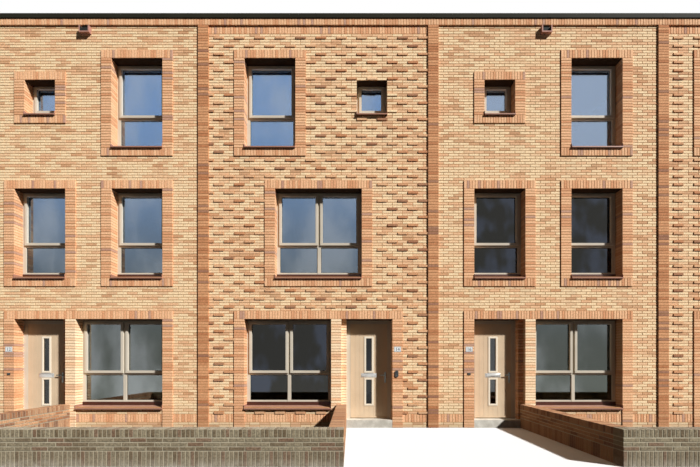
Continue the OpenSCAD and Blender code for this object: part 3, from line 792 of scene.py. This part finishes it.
def rearSoot(p, course, holes):
    mark = 0.0
    for left, right, sill, head in holes:
        below = sill - course
        if 0 < below < 18 and min(abs(p - left), abs(p - right)) <= 1:
            mark = max(mark, 0.22 * (1 - below / 18))
    return mark


plain, deep, heads = rearBricks()
for quarter in range(4):
    low, high = (quarter - 2) * grid["pitch"], (quarter - 1) * grid["pitch"]
    share = [b for b in plain if low <= (b["low"][0] + b["high"][0]) / 2 < high]
    layBricks(f"rear_bricks_{quarter + 1}", share, "stretcher", "buffBrick", turn=180)
layBricks("rear_corner_bricks", deep, "deep", "buffBrick", turn=180)
layBricks("rear_window_heads", heads, "deepUpright", "buffBrick", turn=180, wobble=0.0006)

endWalls = {
    "block": 0.4368,    # one block and its joint, along the wall
    "row": 0.21895,     # one row of blocks
    "rows": 40,
    "joint": 0.003,
    "proud": 0.0035,
}


def endBlocks(side):
    blocks, step = [], endWalls["block"]
    joint, reach = endWalls["joint"] / 2, -innerY
    inside, outside = sorted((side * (rowX - 0.02), side * (rowX + endWalls["proud"])))
    for row in range(endWalls["rows"]):
        z0, z1 = row * endWalls["row"], (row + 1) * endWalls["row"]
        shift = step / 2 if row % 2 else 0.0
        y = -reach - shift
        while y < reach - 0.001:
            a, b = max(y, -reach), min(y + step, reach)
            blocks.append({"low": (inside, a + joint, z0 + joint), "high": (outside, b - joint, z1 - joint),
                           "soot": fading(0.25, z0, 0.7) + fading(0.12, wallTop - z1, 0.5), "tight": True})
            y += step
    return blocks


for side, name in ((-1, "left"), (1, "right")):
    layBricks(f"{name}_end_blocks", endBlocks(side), "block", "blockBrick", turn=90 * side)
print("rear and ends laid")

garden = {
    "inset": 0.004,     # mortar behind the brick faces
    "soldier": 0.218,   # height of the upright bricks at the foot
    "coping": 0.108,    # height of the bricks on edge on top
    "joint": 0.009,
    "thick": 0.21,
    "high": 0.5,
}


def addBar(bm, low, high, arris=0.0, segments=1):
    low, high = Vector(low), Vector(high)
    size, middle = high - low, (low + high) / 2
    size = Vector([abs(s) for s in size])
    made = bmesh.ops.create_cube(bm, size=1)["verts"]
    bmesh.ops.scale(bm, vec=size, verts=made)
    bmesh.ops.translate(bm, vec=middle, verts=made)
    if arris:
        edges = list(dict.fromkeys(edge for v in made for edge in v.link_edges))  # each once, in a fixed order
        bmesh.ops.bevel(bm, geom=edges, offset=min(arris, min(size) * 0.45), affect="EDGES", segments=segments,
                        profile=0.5, material=-1)
    return made


def addRing(bm, x, z, y, wide, arris=0.0015):  # a mitred frame that stands upright, from y[0] to y[1]
    place = (Matrix.Translation(((x[0] + x[1]) / 2, y[0], (z[0] + z[1]) / 2)) @ Matrix.Rotation(math.pi / 2, 4, "X")
             @ Matrix.Diagonal((x[1] - x[0], z[1] - z[0], 1, 1)))
    middle = bmesh.ops.create_grid(bm, x_segments=1, y_segments=1, size=0.5, matrix=place)["verts"][0].link_faces[0]
    sides = bmesh.ops.inset_individual(bm, faces=[middle], thickness=wide, use_even_offset=True)["faces"]
    bmesh.ops.delete(bm, geom=[middle], context="FACES_ONLY")
    pushed = bmesh.ops.extrude_face_region(bm, geom=sides)["geom"]
    bmesh.ops.translate(bm, vec=(0, y[1] - y[0], 0), verts=[v for v in pushed if isinstance(v, bmesh.types.BMVert)])
    if arris:
        edges = [edge for f in sides for edge in f.edges] + [e for e in pushed if isinstance(e, bmesh.types.BMEdge)]
        sharp = [e for e in dict.fromkeys(edges)
                 if e.is_valid and len(e.link_faces) == 2 and abs(e.calc_face_angle(0)) > 1]
        bmesh.ops.bevel(bm, geom=sharp, offset=arris, affect="EDGES", segments=1, profile=0.5, material=-1)


def addRound(bm, middle, axis, radius, length, segments=20, tip=None):
    turn = Vector((0, 0, 1)).rotation_difference(Vector(axis)).to_matrix().to_4x4()
    return bmesh.ops.create_cone(bm, cap_ends=True, segments=segments, radius1=radius,
                                 radius2=radius if tip is None else tip, depth=length,
                                 matrix=Matrix.Translation(middle) @ turn)["verts"]


def finishPiece(name, bm, finishName, body="row", smooth=False):
    bmesh.ops.recalc_face_normals(bm, faces=bm.faces)
    data = meshOf(bm, name)
    piece = bpy.data.objects.new(name, data)
    scene.collection.objects.link(piece)
    data.materials.append(finish[finishName])
    if smooth:
        data.shade_smooth()
        data.set_sharp_from_angle(angle=math.radians(35))
    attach(piece, body)
    return piece


def gardenRuns():  # each wall: fixed range across, range along, which axis it runs on
    frontLow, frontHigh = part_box("garden_front_walls")
    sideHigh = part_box("garden_side_walls")[1].y
    thick = garden["thick"]
    deepY, near, far = frontLow.y + thick, along(2, 16), along(3, 27)
    for left, right in ((-far, -near), (near, far)):
        yield "x", (left, right), (frontLow.y, deepY)
        yield "y", (deepY, sideHigh), (left, left + thick)
        yield "y", (deepY, sideHigh), (right - thick, right)


def gardenBricks():
    runs, flat = [], []
    joint, step = garden["joint"] / 2, grid["course"]
    top = garden["soldier"] + 3 * step + garden["coping"]

    def place(axis, a, b, across, z0, z1, soot):
        low, high = (a, across[0], z0), (b, across[1], z1)
        if axis == "y":
            low, high = (low[1], low[0], low[2]), (high[1], high[0], high[2])
        return {"low": low, "high": high, "soot": soot, "tight": False, "side": axis == "y"}

    for axis, (start, end), across in gardenRuns():
        count = round((end - start) / step)
        wide = (end - start) / count
        for k in range(count):
            a = start + k * wide + (0 if k == 0 and axis == "x" else joint)
            b = start + (k + 1) * wide - (0 if k == count - 1 and axis == "x" else joint)
            runs.append(place(axis, a, b, across, 0.0, garden["soldier"] - joint * 2, 0.35))
            # the side walls' copings are darker, offsetting their lighter bricks
            runs.append(place(axis, a, b, across, top - garden["coping"] + joint, top, 0.35 if axis == "y" else 0.0))
        for row in range(3):
            z0 = garden["soldier"] + row * step
            a = start - (grid["half"] if row % 2 else 0.0)
            while a < end - 0.01:
                p, q = max(a, start), min(a + 2 * grid["half"], end)
                flat.append(place(axis, p + (0 if p == start and axis == "x" else joint),
                                  q - (0 if q == end and axis == "x" else joint), across,
                                  z0 + joint - garden["joint"] / 2, z0 + step - garden["joint"], 0.1))
                a += 2 * grid["half"]
    return runs, flat


def makeGarden():
    bm = bmesh.new()
    inset = garden["inset"]
    for axis, (start, end), across in gardenRuns():
        a, b = (start + inset, end - inset) if axis == "x" else (start - inset * 2, end)
        low, high = (a, across[0] + inset, 0.0), (b, across[1] - inset, garden["high"] - inset)
        if axis == "y":
            low, high = (low[1], low[0], 0.0), (high[1], high[0], high[2])
        addBar(bm, low, high)
    core = finishPiece("garden_wall_mortar", bm, "paleMortar")
    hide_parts("garden_front_walls", "garden_side_walls")
    uprights, flat = gardenBricks()
    for name, look, side in (("garden_front", "gardenBrick", False), ("garden_side", "gardenSideBrick", True)):
        for part, bricks, shape in (("_uprights", uprights, "looseUpright"), ("_courses", flat, "loose")):
            share = [b for b in bricks if b["side"] == side]
            layBricks(name + part, share, shape, look, wobble=0.0)


makeGarden()

joinery = {
    "frameOut": 4.368,  # faces of frame and glass, from the row's middle
    "glassOut": 4.342,
    "glassIn": 4.314,
    "frameIn": 4.288,
    "frame": 0.066,
    "transom": (0.664, 0.730),  # above the sill's top
    "sillTall": 0.056,
    "sash": 0.055,
    "sideLap": 0.010,   # how far a sash lies over its frame at the sides
    "endLap": 0.030,    # and at its top and bottom
    "sashProud": 0.031,  # out of the frame's outer face
    "sashIn": 0.012,    # past its inner face
    "bead": 0.007,
    "lowBead": 0.043,
    "smallRise": 0.022,  # the sash of a small window sits higher, on a bead of its own
    "smallBead": 0.050,
    "seal": 0.011,
    # plate, neck and grip: half width, depth from and to, height from and to, arris and its steps
    "handle": ((0.014, 0.0, 0.010, -0.035, 0.035, 0.004, 2),
               (0.009, 0.010, 0.045, -0.009, 0.009, 0.003, 1),
               (0.009, 0.033, 0.046, -0.115, 0.012, 0.004, 2)),
}


def windowsAlong(side):  # the last value is how far the wall's face is from the row's middle
    for house in range(4):
        for storey in range(3):
            for left, right, sill, head, wings, framed in windowsOf(house, storey, side):
                base = storey * grid["storey"]
                face = rearY if side == "Rear" else abs(surroundY if framed or storey == 0 else frontY)
                yield along(house, left), along(house, right), upTo(base + sill), upTo(base + head), wings, face


def baysOf(x0, x1, wings):
    frameWide, middle = joinery["frame"], (x0 + x1) / 2
    if wings == 2:
        return [(x0 + frameWide, middle - frameWide / 2), (middle + frameWide / 2, x1 - frameWide)]
    return [(x0 + frameWide, x1 - frameWide)]


def makeJoinery():
    sashes, beads, seals, handles, boards, paintedShadeStrips = (bmesh.new() for _ in range(6))
    wide, sideLap, endLap = joinery["sash"], joinery["sideLap"], joinery["endLap"]
    for side, out in (("Front", -1), ("Rear", 1)):
        frameOut, glassOut, glassIn, frameIn = (
            out * joinery[key] for key in ("frameOut", "glassOut", "glassIn", "frameIn"))
        proudY, inY = frameOut + out * joinery["sashProud"], frameIn - out * joinery["sashIn"]
        for x0, x1, z0, z1, wings, face in windowsAlong(side):
            base, head = z0 + joinery["sillTall"], z1 - joinery["frame"]
            low = base + joinery["transom"][1] if wings else base + joinery["frame"]
            for a, b in baysOf(x0, x1, wings):
                rise = 0 if wings else joinery["smallRise"]
                x, z = (a - sideLap, b + sideLap), (low - endLap + rise, head + endLap + rise)
                addRing(sashes, x, z, (proudY, glassOut), wide, 0.003)
                addRing(sashes, x, z, (glassIn, inY), wide, 0.003)
                edge, seat = wide - 0.006, (glassOut + out * 0.004, glassOut)
                addRing(seals, (x[0] + edge, x[1] - edge), (z[0] + edge, z[1] - edge), seat, joinery["seal"], 0)
                handleZ, handleX = low + (head - low) * 0.42, x[1] - wide / 2
                for half, near, far, foot, top, arris, rounds in joinery["handle"]:
                    addBar(handles, (handleX - half, inY - out * near, handleZ + foot),
                           (handleX + half, inY - out * far, handleZ + top), arris, rounds)
                if not wings:
                    addBar(beads, (x[0] + wide - 0.001, proudY - out * 0.006, z[0] + wide - 0.001),
                           (x[1] - wide + 0.001, glassOut, z[0] + wide + joinery["smallBead"]), 0.002)
                else:
                    fixed = (base + joinery["frame"], base + joinery["transom"][0])
                    addRing(beads, (a, b), fixed, (frameOut - out * 0.006, glassOut), joinery["bead"], 0.002)
                    addBar(beads, (a + 0.0005, frameOut - out * 0.004, fixed[0] + 0.0005),
                           (b - 0.0005, glassOut, fixed[0] + joinery["lowBead"]), 0.002)
                    sealAt = joinery["bead"] - 0.003
                    sealZ = (fixed[0] + joinery["lowBead"] - 0.003, fixed[1] - sealAt)
                    addRing(seals, (a + sealAt, b - sealAt), sealZ, seat, joinery["seal"], 0)
                    addRing(beads, (a, b), fixed, (glassIn, frameIn + out * 0.006), joinery["bead"], 0.002)
            # dark strips over the foot of each frame: painted shade, in a darker copy of the sill's coat
            addBar(paintedShadeStrips, (x0 + 0.001, frameOut + out * 0.010, base + 0.001),
                   (x1 - 0.001, frameOut, base + 0.074), 0.002)
            addBar(boards, (x0 - 0.02, frameIn - out * 0.001, z0 + 0.001),
                   (x1 + 0.02, frameIn - out * 0.145, z0 + 0.026), 0.004, 2)
    finishPiece("window_sashes", sashes, "frameCoat")
    finishPiece("window_beads", beads, "frameCoat")
    finishPiece("window_seals", seals, "gasket")
    finishPiece("window_handles", handles, "satinSteel", smooth=True)
    finishPiece("window_boards", boards, "plaster")
    finishPiece("sill_upstands", paintedShadeStrips, "sillShade")


makeJoinery()

sills = {
    "lip": (-0.010, 0.016),  # bottom and top of the folded front edge, measured from the opening's foot
    "sheet": 0.004,
    "bed": 0.033,           # mortar under the sheet
    "dam": 0.028,           # turned-up ends
}


def makeSills():
    sheets, beds = bmesh.new(), bmesh.new()
    tall, sheet, (lipLow, lipTop) = joinery["sillTall"], sills["sheet"], sills["lip"]
    inner = joinery["frameOut"]
    for side, out in (("Front", -1), ("Rear", 1)):
        nose = abs(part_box("window_sills")[0 if out < 0 else 1].y)
        for x0, x1, z0, z1, wings, wallFace in windowsAlong(side):
            verts = addBar(sheets, (x0, out * inner, z0 + tall - sheet), (x1, out * nose, z0 + tall))
            atNose = [v for v in verts if abs(v.co.y) > nose - 0.001]
            bmesh.ops.translate(sheets, vec=(0, 0, lipTop - tall), verts=atNose)
            addBar(sheets, (x0, out * (nose - sheet), z0 + lipLow), (x1, out * nose, z0 + lipTop - 0.0005), 0.001)
            addBar(beds, (x0, out * inner, z0), (x1, out * (wallFace - 0.004), z0 + sills["bed"]))
            for a, b in ((x0, x0 + 0.003), (x1 - 0.003, x1)):
                addBar(sheets, (a, out * (inner + 0.004), z0 + 0.02),
                       (b, out * (nose - 0.016), z0 + tall + sills["dam"]), 0.001)
                addBar(sheets, (a, out * (wallFace - 0.01), z0 + lipLow),
                       (b, out * (nose - 0.001), z0 + lipTop + 0.001))
    piece = finishPiece("sill_plates", sheets, "sillCoat")
    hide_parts("window_sills")
    finishPiece("sill_beds", beds, "mortar")


makeSills()
print("windows dressed")

lintels = {
    "back": 0.012,      # from the bricks' face to the plate's edge
    "thick": 0.005,
    "side": 0.0015,
}


def makeLintelShadePlates():  # dark steel plates that carry the upright bricks over each opening; their dark coat is also painted shade on the soffits
    bm = bmesh.new()
    spans = [(x0, x1, z1, out, joinery["frameOut"], face) for side, out in (("Front", -1), ("Rear", 1))
             for x0, x1, z0, z1, wings, face in windowsAlong(side)]
    for house in range(4):
        left, right = doorwayOf(house)
        head = upTo(grid["head"])
        spans.append((along(house, left), along(house, right), head, -1, abs(doorFrameY), abs(surroundY)))
    for x0, x1, head, out, inside, face in spans:
        top = head - grid["lap"] - 0.0003
        addBar(bm, (x0 + lintels["side"], out * (face - lintels["back"]), top - lintels["thick"]),
               (x1 - lintels["side"], out * inside, top), 0.001)
    finishPiece("lintel_plates", bm, "lintelSteelAndShade")


makeLintelShadePlates()


spouts = {
    "half": 0.108,      # half their width
    "wall": 0.022,
    "liner": 0.0015,
}


def makeSpoutLinersAndShade():  # dark sheet inside the open gutters; its back plate runs up the wall behind each mouth as painted shade
    bm = bmesh.new()
    low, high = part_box("rain_spouts")
    wall, sheet, back = spouts["wall"], spouts["liner"], frontY - grid["proud"] - 0.003
    half = spouts["half"] - wall
    for house in (0, 2):
        x, floor = along(house, 21), low.z + wall
        # back plate up to the band: painted shade of the mouth
        addBar(bm, (x - half, back, floor), (x + half, back + 0.002, upTo(grid["band"]) - 0.002))
        addBar(bm, (x - half, low.y + 0.004, floor), (x + half, back, floor + sheet))
        for side in (-1, 1):
            addBar(bm, (x + side * (half - sheet), low.y + 0.004, floor + sheet),
                   (x + side * half, back, high.z - 0.003))
    finishPiece("spout_liners", bm, "gasket")


makeSpoutLinersAndShade()
print("lintels and spouts set")

door = {
    "board": 3,         # boards on each side of the lights
    "proud": 0.0035,
    "gap": 0.0022,
    "edge": 0.012,
    "bead": 0.042,
    "beadOut": 0.014,
    "lightHalf": 0.062,
    "lights": ((0.486, 1.016), (1.206, 1.921)),
    "plateZ": 1.111,
    "leverZ": 1.116,
    "leverIn": 0.055,
    "hingesZ": (0.424, 1.208, 1.992),
}


def addBoards(bm, low, high):
    middle, half = (low.x + high.x) / 2, door["lightHalf"] + door["bead"]
    bottom, top, gap = low.z + 0.040, high.z - door["edge"], door["gap"] / 2
    columns = []
    for a, b in ((low.x + door["edge"], middle - half), (middle + half, high.x - door["edge"])):
        step = (b - a) / door["board"]
        columns += [(a + k * step, a + (k + 1) * step, bottom, top) for k in range(door["board"])]
    (z0, z1), (z2, z3) = door["lights"]
    bead = door["bead"]
    for lowZ, highZ in ((bottom, z0 - bead), (z1 + bead, z2 - bead), (z3 + bead, top)):
        columns += [(middle - half, middle, lowZ, highZ), (middle, middle + half, lowZ, highZ)]
    for y0, y1 in ((low.y - door["proud"], low.y + 0.001), (high.y - 0.001, high.y + door["proud"])):
        for a, b, lowZ, highZ in columns:
            addBar(bm, (a + gap, y0, lowZ + gap), (b - gap, y1, highZ - gap), 0.0014)


def addLetterPlate(bm, low, high):
    middle, z = (low.x + high.x) / 2, door["plateZ"]
    addBar(bm, (middle - 0.168, low.y - 0.007, z - 0.046), (middle + 0.168, low.y - 0.0005, z + 0.046), 0.004, 2)
    addBar(bm, (middle - 0.144, low.y - 0.019, z - 0.031), (middle + 0.144, low.y - 0.006, z + 0.026), 0.006, 3)
    addRound(bm, (middle, low.y - 0.013, z + 0.030), (1, 0, 0), 0.006, 0.290, 12)
    addBar(bm, (middle - 0.168, high.y + 0.0005, z - 0.046), (middle + 0.168, high.y + 0.006, z + 0.046), 0.003, 2)
    addBar(bm, (middle - 0.140, high.y + 0.005, z - 0.028), (middle + 0.140, high.y + 0.014, z + 0.028), 0.004, 2)


def addFurniture(bm, low, high):
    x, z = high.x - door["leverIn"], door["leverZ"]
    for y, out in ((low.y, -1), (high.y, 1)):
        addBar(bm, (x - 0.017, y, z - 0.165), (x + 0.017, y + out * 0.009, z + 0.060), 0.003, 2)
        addRound(bm, (x, y + out * 0.011, z), (0, 1, 0), 0.0155, 0.010, 24)
        addRound(bm, (x, y + out * 0.032, z), (0, 1, 0), 0.010, 0.040, 20)
        addBar(bm, (x - 0.118, y + out * 0.039, z - 0.010), (x + 0.011, y + out * 0.057, z + 0.010), 0.0075, 3)
        addRound(bm, (x, y + out * 0.011, z - 0.072), (0, 1, 0), 0.0085, 0.010, 20)
        addBar(bm, (x - 0.0045, y + out * 0.009, z - 0.098), (x + 0.0045, y + out * 0.014, z - 0.074), 0.002)
        for screwZ in (z + 0.048, z - 0.152):
            addRound(bm, (x, y + out * 0.0095, screwZ), (0, 1, 0), 0.004, 0.003, 10)
    for z in door["hingesZ"]:
        pinX = low.x - 0.004
        addRound(bm, (pinX, high.y + 0.008, z), (0, 0, 1), 0.007, 0.040, 24)
        addBar(bm, (pinX, high.y, z - 0.020), (pinX + 0.038, high.y + 0.003, z + 0.020), 0.0006)
        for k in (0.016, 0.029):
            addRound(bm, (pinX + k, high.y + 0.0033, z), (0, 1, 0), 0.0032, 0.001, 10)


def makeDoor(number):
    body, leaf = f"door_{number}", f"door_leaf_{number}"
    low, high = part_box(leaf)
    middle, half = (low.x + high.x) / 2, door["lightHalf"] + door["bead"]
    boards, beads, furniture, plates, seals = (bmesh.new() for _ in range(5))
    addBoards(boards, low, high)
    addBar(boards, (low.x + 0.012, low.y - 0.016, low.z + 0.010),
           (high.x - 0.012, low.y + 0.001, low.z + 0.036), 0.005, 2)
    for z0, z1 in door["lights"]:
        x, z = (middle - half, middle + half), (z0 - door["bead"], z1 + door["bead"])
        addRing(beads, x, z, (low.y - door["beadOut"], low.y + 0.0005), door["bead"], 0.004)
        addRing(beads, x, z, (high.y - 0.0005, high.y + door["beadOut"]), door["bead"], 0.004)
        inner = door["lightHalf"]
        glassY = (low.y + high.y) / 2 - 0.014
        addRing(seals, (middle - inner, middle + inner), (z0, z1), (glassY - 0.004, glassY), 0.006, 0)
    addFurniture(furniture, low, high)
    addLetterPlate(plates, low, high)
    finishPiece(f"letter_plates_{number}", plates, "satinSteel", body, smooth=True)
    finishPiece(f"door_boards_{number}", boards, "doorCoat", body)
    finishPiece(f"door_beads_{number}", beads, "beadCoat", body)
    finishPiece(f"door_light_seals_{number}", seals, "gasket", body)
    piece = finishPiece(f"door_furniture_{number}", furniture, "darkSteelAndShade", body, smooth=True)
    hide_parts(f"door_fittings_{number}")
    stop = bmesh.new()
    y0, y1 = doorFrameY, low.y - 0.0015
    for a, b, z0, z1 in ((low.x - 0.008, low.x + 0.007, low.z - 0.008, high.z + 0.008),
                         (high.x - 0.007, high.x + 0.008, low.z - 0.008, high.z + 0.008),
                         (low.x + 0.0072, high.x - 0.0072, high.z - 0.007, high.z + 0.008)):
        addBar(stop, (a, y0, z0), (b, y1, z1), 0.002)
    finishPiece(f"door_stops_{number}", stop, "frameCoat")


for number in range(1, 5):
    makeDoor(number)
print("doors dressed")

signs = {
    "numbers": ("12", "14", "16", "18"),
    "height": 0.066,
    "rim": 0.003,
}


def signX(house):  # middle of the brick stack that carries the number and the bell
    return along(house, 6 if isPlain(house) else 37)


def makeNumbers():
    digits = bmesh.new()
    low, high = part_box("number_plates")
    z = (low.z + high.z) / 2
    for house in range(4):
        middle = signX(house)
        curve = bpy.data.curves.new("numberText", "FONT")
        curve.body, curve.size, curve.extrude = signs["numbers"][house], signs["height"] / 0.7, 0.0006
        curve.align_x = "CENTER"
        text = bpy.data.objects.new("numberText", curve)
        scene.collection.objects.link(text)
        bpy.context.view_layer.update()
        data = bpy.data.meshes.new_from_object(text.evaluated_get(bpy.context.evaluated_depsgraph_get()))
        data.transform(Matrix.Translation((middle, low.y - 0.0006, z - signs["height"] / 2))
                       @ Matrix.Rotation(math.pi / 2, 4, "X"))
        digits.from_mesh(data)
        bpy.data.objects.remove(text)
        bpy.data.meshes.remove(data)
        bpy.data.curves.remove(curve)
        addRing(digits, (middle - 0.071, middle + 0.071), (z - 0.052, z + 0.052), (low.y - 0.0008, low.y),
                signs["rim"], 0)
    bmesh.ops.remove_doubles(digits, verts=digits.verts, dist=0.00001)
    finishPiece("number_digits", digits, "inkBlue")


def makeBells():
    caps, marks = bmesh.new(), bmesh.new()
    low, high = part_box("bell_pushes")
    z = (low.z + high.z) / 2
    for house in range(4):
        middle = signX(house)
        if isPlain(house):
            y = surroundY - 0.016
            addRound(caps, (middle, y - 0.001, z), (0, 1, 0), 0.012, 0.004, 24, 0.010)
        else:
            middle, y = middle - 0.020, surroundY - 0.022
            addRound(caps, (middle, y - 0.001, z - 0.034), (0, 1, 0), 0.014, 0.004, 24, 0.012)
            addRound(marks, (middle, y - 0.0008, z + 0.036), (0, 1, 0), 0.011, 0.003, 24)
    finishPiece("bell_buttons", caps, "darkSteelAndShade", smooth=True)
    finishPiece("bell_lenses", marks, "doorGlass", smooth=True)


makeNumbers()
makeBells()

roof = {
    "sheet": 1.0,       # width of a bitumen sheet
    "lap": 0.06,
    "thick": 0.0045,
    "joint": 2.4525,    # length of a piece of trim
    "cover": 0.07,
    "deep": 4.228,      # from the row's middle to the parapets' inner faces
    "fillet": 0.055,    # sloping foot of the upstands
    "outletY": -3.70,
}


def makeRoof():
    sheets, upstands, covers, outlets = (bmesh.new() for _ in range(4))
    x1, y1, z = rowX - 2 * grid["half"], roof["deep"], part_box("roof_deck")[1].z
    count = math.ceil(2 * x1 / roof["sheet"])
    for k in range(count):
        a = -x1 + k * roof["sheet"]
        b = min(a + roof["sheet"] + roof["lap"], x1)
        lift = roof["thick"] * (k % 2)
        addBar(sheets, (a, -y1, z), (b, y1, z + roof["thick"] + lift), 0.0015)
    top = wallTop - 0.004
    for a, b, c, d in ((-x1, x1, -y1, -y1 + 0.006), (-x1, x1, y1 - 0.006, y1),
                       (-x1, -x1 + 0.006, -y1, y1), (x1 - 0.006, x1, -y1, y1)):
        addBar(upstands, (a, c, z), (b, d, top))
        x, y, grow = (a, b), (c, d), roof["fillet"]
        long = b - a > d - c
        if long:
            y = (c, c + grow) if c < 0 else (d - grow, d)
        else:
            x = (a, a + grow) if a < 0 else (b - grow, b)
        fillet = addBar(upstands, (x[0], y[0], z), (x[1], y[1], z + grow))
        inner = [v for v in fillet if v.co.z > z + 0.01 and
                 (abs(v.co.y) < y1 - grow / 2 if long else abs(v.co.x) < x1 - grow / 2)]
        bmesh.ops.translate(upstands, vec=(0, 0, 0.012 - grow), verts=inner)
    half, (trimLow, trimHigh) = round(rowX / roof["joint"]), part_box("roof_trim")
    for k in range(-half, half + 1):
        x = k * roof["joint"]
        if abs(x) > rowX - 0.1:
            continue
        for y, out in ((trimLow.y, -1), (trimHigh.y, 1)):
            addBar(covers, (x - roof["cover"] / 2, y, trimLow.z + 0.0015),
                   (x + roof["cover"] / 2, y + out * 0.0018, trimHigh.z - 0.0015), 0.0005)
    for house in range(4):
        x, y = along(house, 21), roof["outletY"]
        addRound(outlets, (x, y, z + 0.010), (0, 0, 1), 0.13, 0.010, 32)
        for ring in range(4):
            addRound(outlets, (x, y, z + 0.026 + ring * 0.022), (0, 0, 1), 0.082 - ring * 0.014, 0.007, 24)
        for turn in range(8):
            angle = turn * math.pi / 4
            foot = Vector((x + 0.078 * math.cos(angle), y + 0.078 * math.sin(angle), z + 0.014))
            head = Vector((x + 0.030 * math.cos(angle), y + 0.030 * math.sin(angle), z + 0.094))
            addRound(outlets, (foot + head) / 2, head - foot, 0.0045, (head - foot).length, 8)
    finishPiece("roof_sheets", sheets, "bitumen")
    finishPiece("roof_upstands", upstands, "bitumen")
    finishPiece("trim_covers", covers, "trimCoat")
    finishPiece("roof_outlets", outlets, "gasket", smooth=True)


makeRoof()
print("roof dressed")

studio = {
    "key": {"towards": (0.629, -0.492, 0.602), "strength": 6.05, "angle": 3.0},
    "rear": {"towards": (-0.55, 0.62, 0.56), "strength": 3.0, "angle": 25.0},
    "fill": 0.035,
    "floorSeen": (0.80, 0.80, 0.79, 1),
    "floorLight": (0.032, 0.031, 0.030, 1),    # what the floor throws back on the fronts
    "floorSize": 160.0,
}


def seenIn(tree):  # 1 for what the camera, a reflection or a pane shows
    path = tree.nodes.new("ShaderNodeLightPath")
    mirrored = calc(tree, "MAXIMUM", path.outputs["Is Glossy Ray"], path.outputs["Is Transmission Ray"])
    return calc(tree, "MAXIMUM", path.outputs["Is Camera Ray"], mirrored)


def makeStudio():
    bm = bmesh.new()
    bmesh.ops.create_grid(bm, x_segments=1, y_segments=1, size=studio["floorSize"] / 2)
    data = meshOf(bm, "studioFloor")
    floor = bpy.data.objects.new("studioFloor", data)
    scene.collection.objects.link(floor)
    material, tree, shader = newMaterial("studioFloor")
    color = mixColors(tree, seenIn(tree), studio["floorLight"], studio["floorSeen"])
    tree.links.new(color, shader.inputs["Base Color"])
    shader.inputs["Roughness"].default_value = 0.9
    shader.inputs["Specular IOR Level"].default_value = 0.0
    data.materials.append(material)
    floor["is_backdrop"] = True
    for name in ("key", "rear"):
        lamp = bpy.data.lights.new(name + "Light", "SUN")
        lamp.energy, lamp.angle = studio[name]["strength"], math.radians(studio[name]["angle"])
        light = bpy.data.objects.new(name + "Light", lamp)
        scene.collection.objects.link(light)
        light.rotation_euler = Vector(studio[name]["towards"]).to_track_quat("Z", "Y").to_euler()
    world = bpy.data.worlds.new("studioWorld")
    scene.world = world
    world.use_nodes = True
    tree = world.node_tree
    add = nodeAdder(tree)
    tree.nodes.clear()
    shown, fill = add("ShaderNodeBackground"), add("ShaderNodeBackground")
    mixed, out = add("ShaderNodeMixShader"), add("ShaderNodeOutputWorld")
    fill.inputs["Strength"].default_value = studio["fill"]
    fill.inputs["Color"].default_value = (1, 1, 1, 1)
    shown.inputs["Color"].default_value = (1, 1, 1, 1)
    tree.links.new(seenIn(tree), mixed.inputs[0])
    tree.links.new(fill.outputs[0], mixed.inputs[1])
    tree.links.new(shown.outputs[0], mixed.inputs[2])
    tree.links.new(mixed.outputs[0], out.inputs[0])


view = {
    "lens": 20.7,
    "shift": (-0.0013, 0.1854),
    "place": (-1.757, -13.18, 1.376),
}


def makeCamera():
    data = bpy.data.cameras.new("frontCamera")
    data.lens, data.sensor_width = view["lens"], 36.0
    data.shift_x, data.shift_y = view["shift"]
    data.clip_end = 500
    camera = bpy.data.objects.new("frontCamera", data)
    camera.location = view["place"]
    camera.rotation_euler = (math.pi / 2, 0, 0)
    scene.collection.objects.link(camera)
    scene.camera = camera


makeStudio()
makeCamera()
scene.view_settings.view_transform = "Standard"
print("studio ready")

low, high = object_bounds()
{"cad": [list(cadLow), list(cadHigh)], "visual": [list(low), list(high)]}
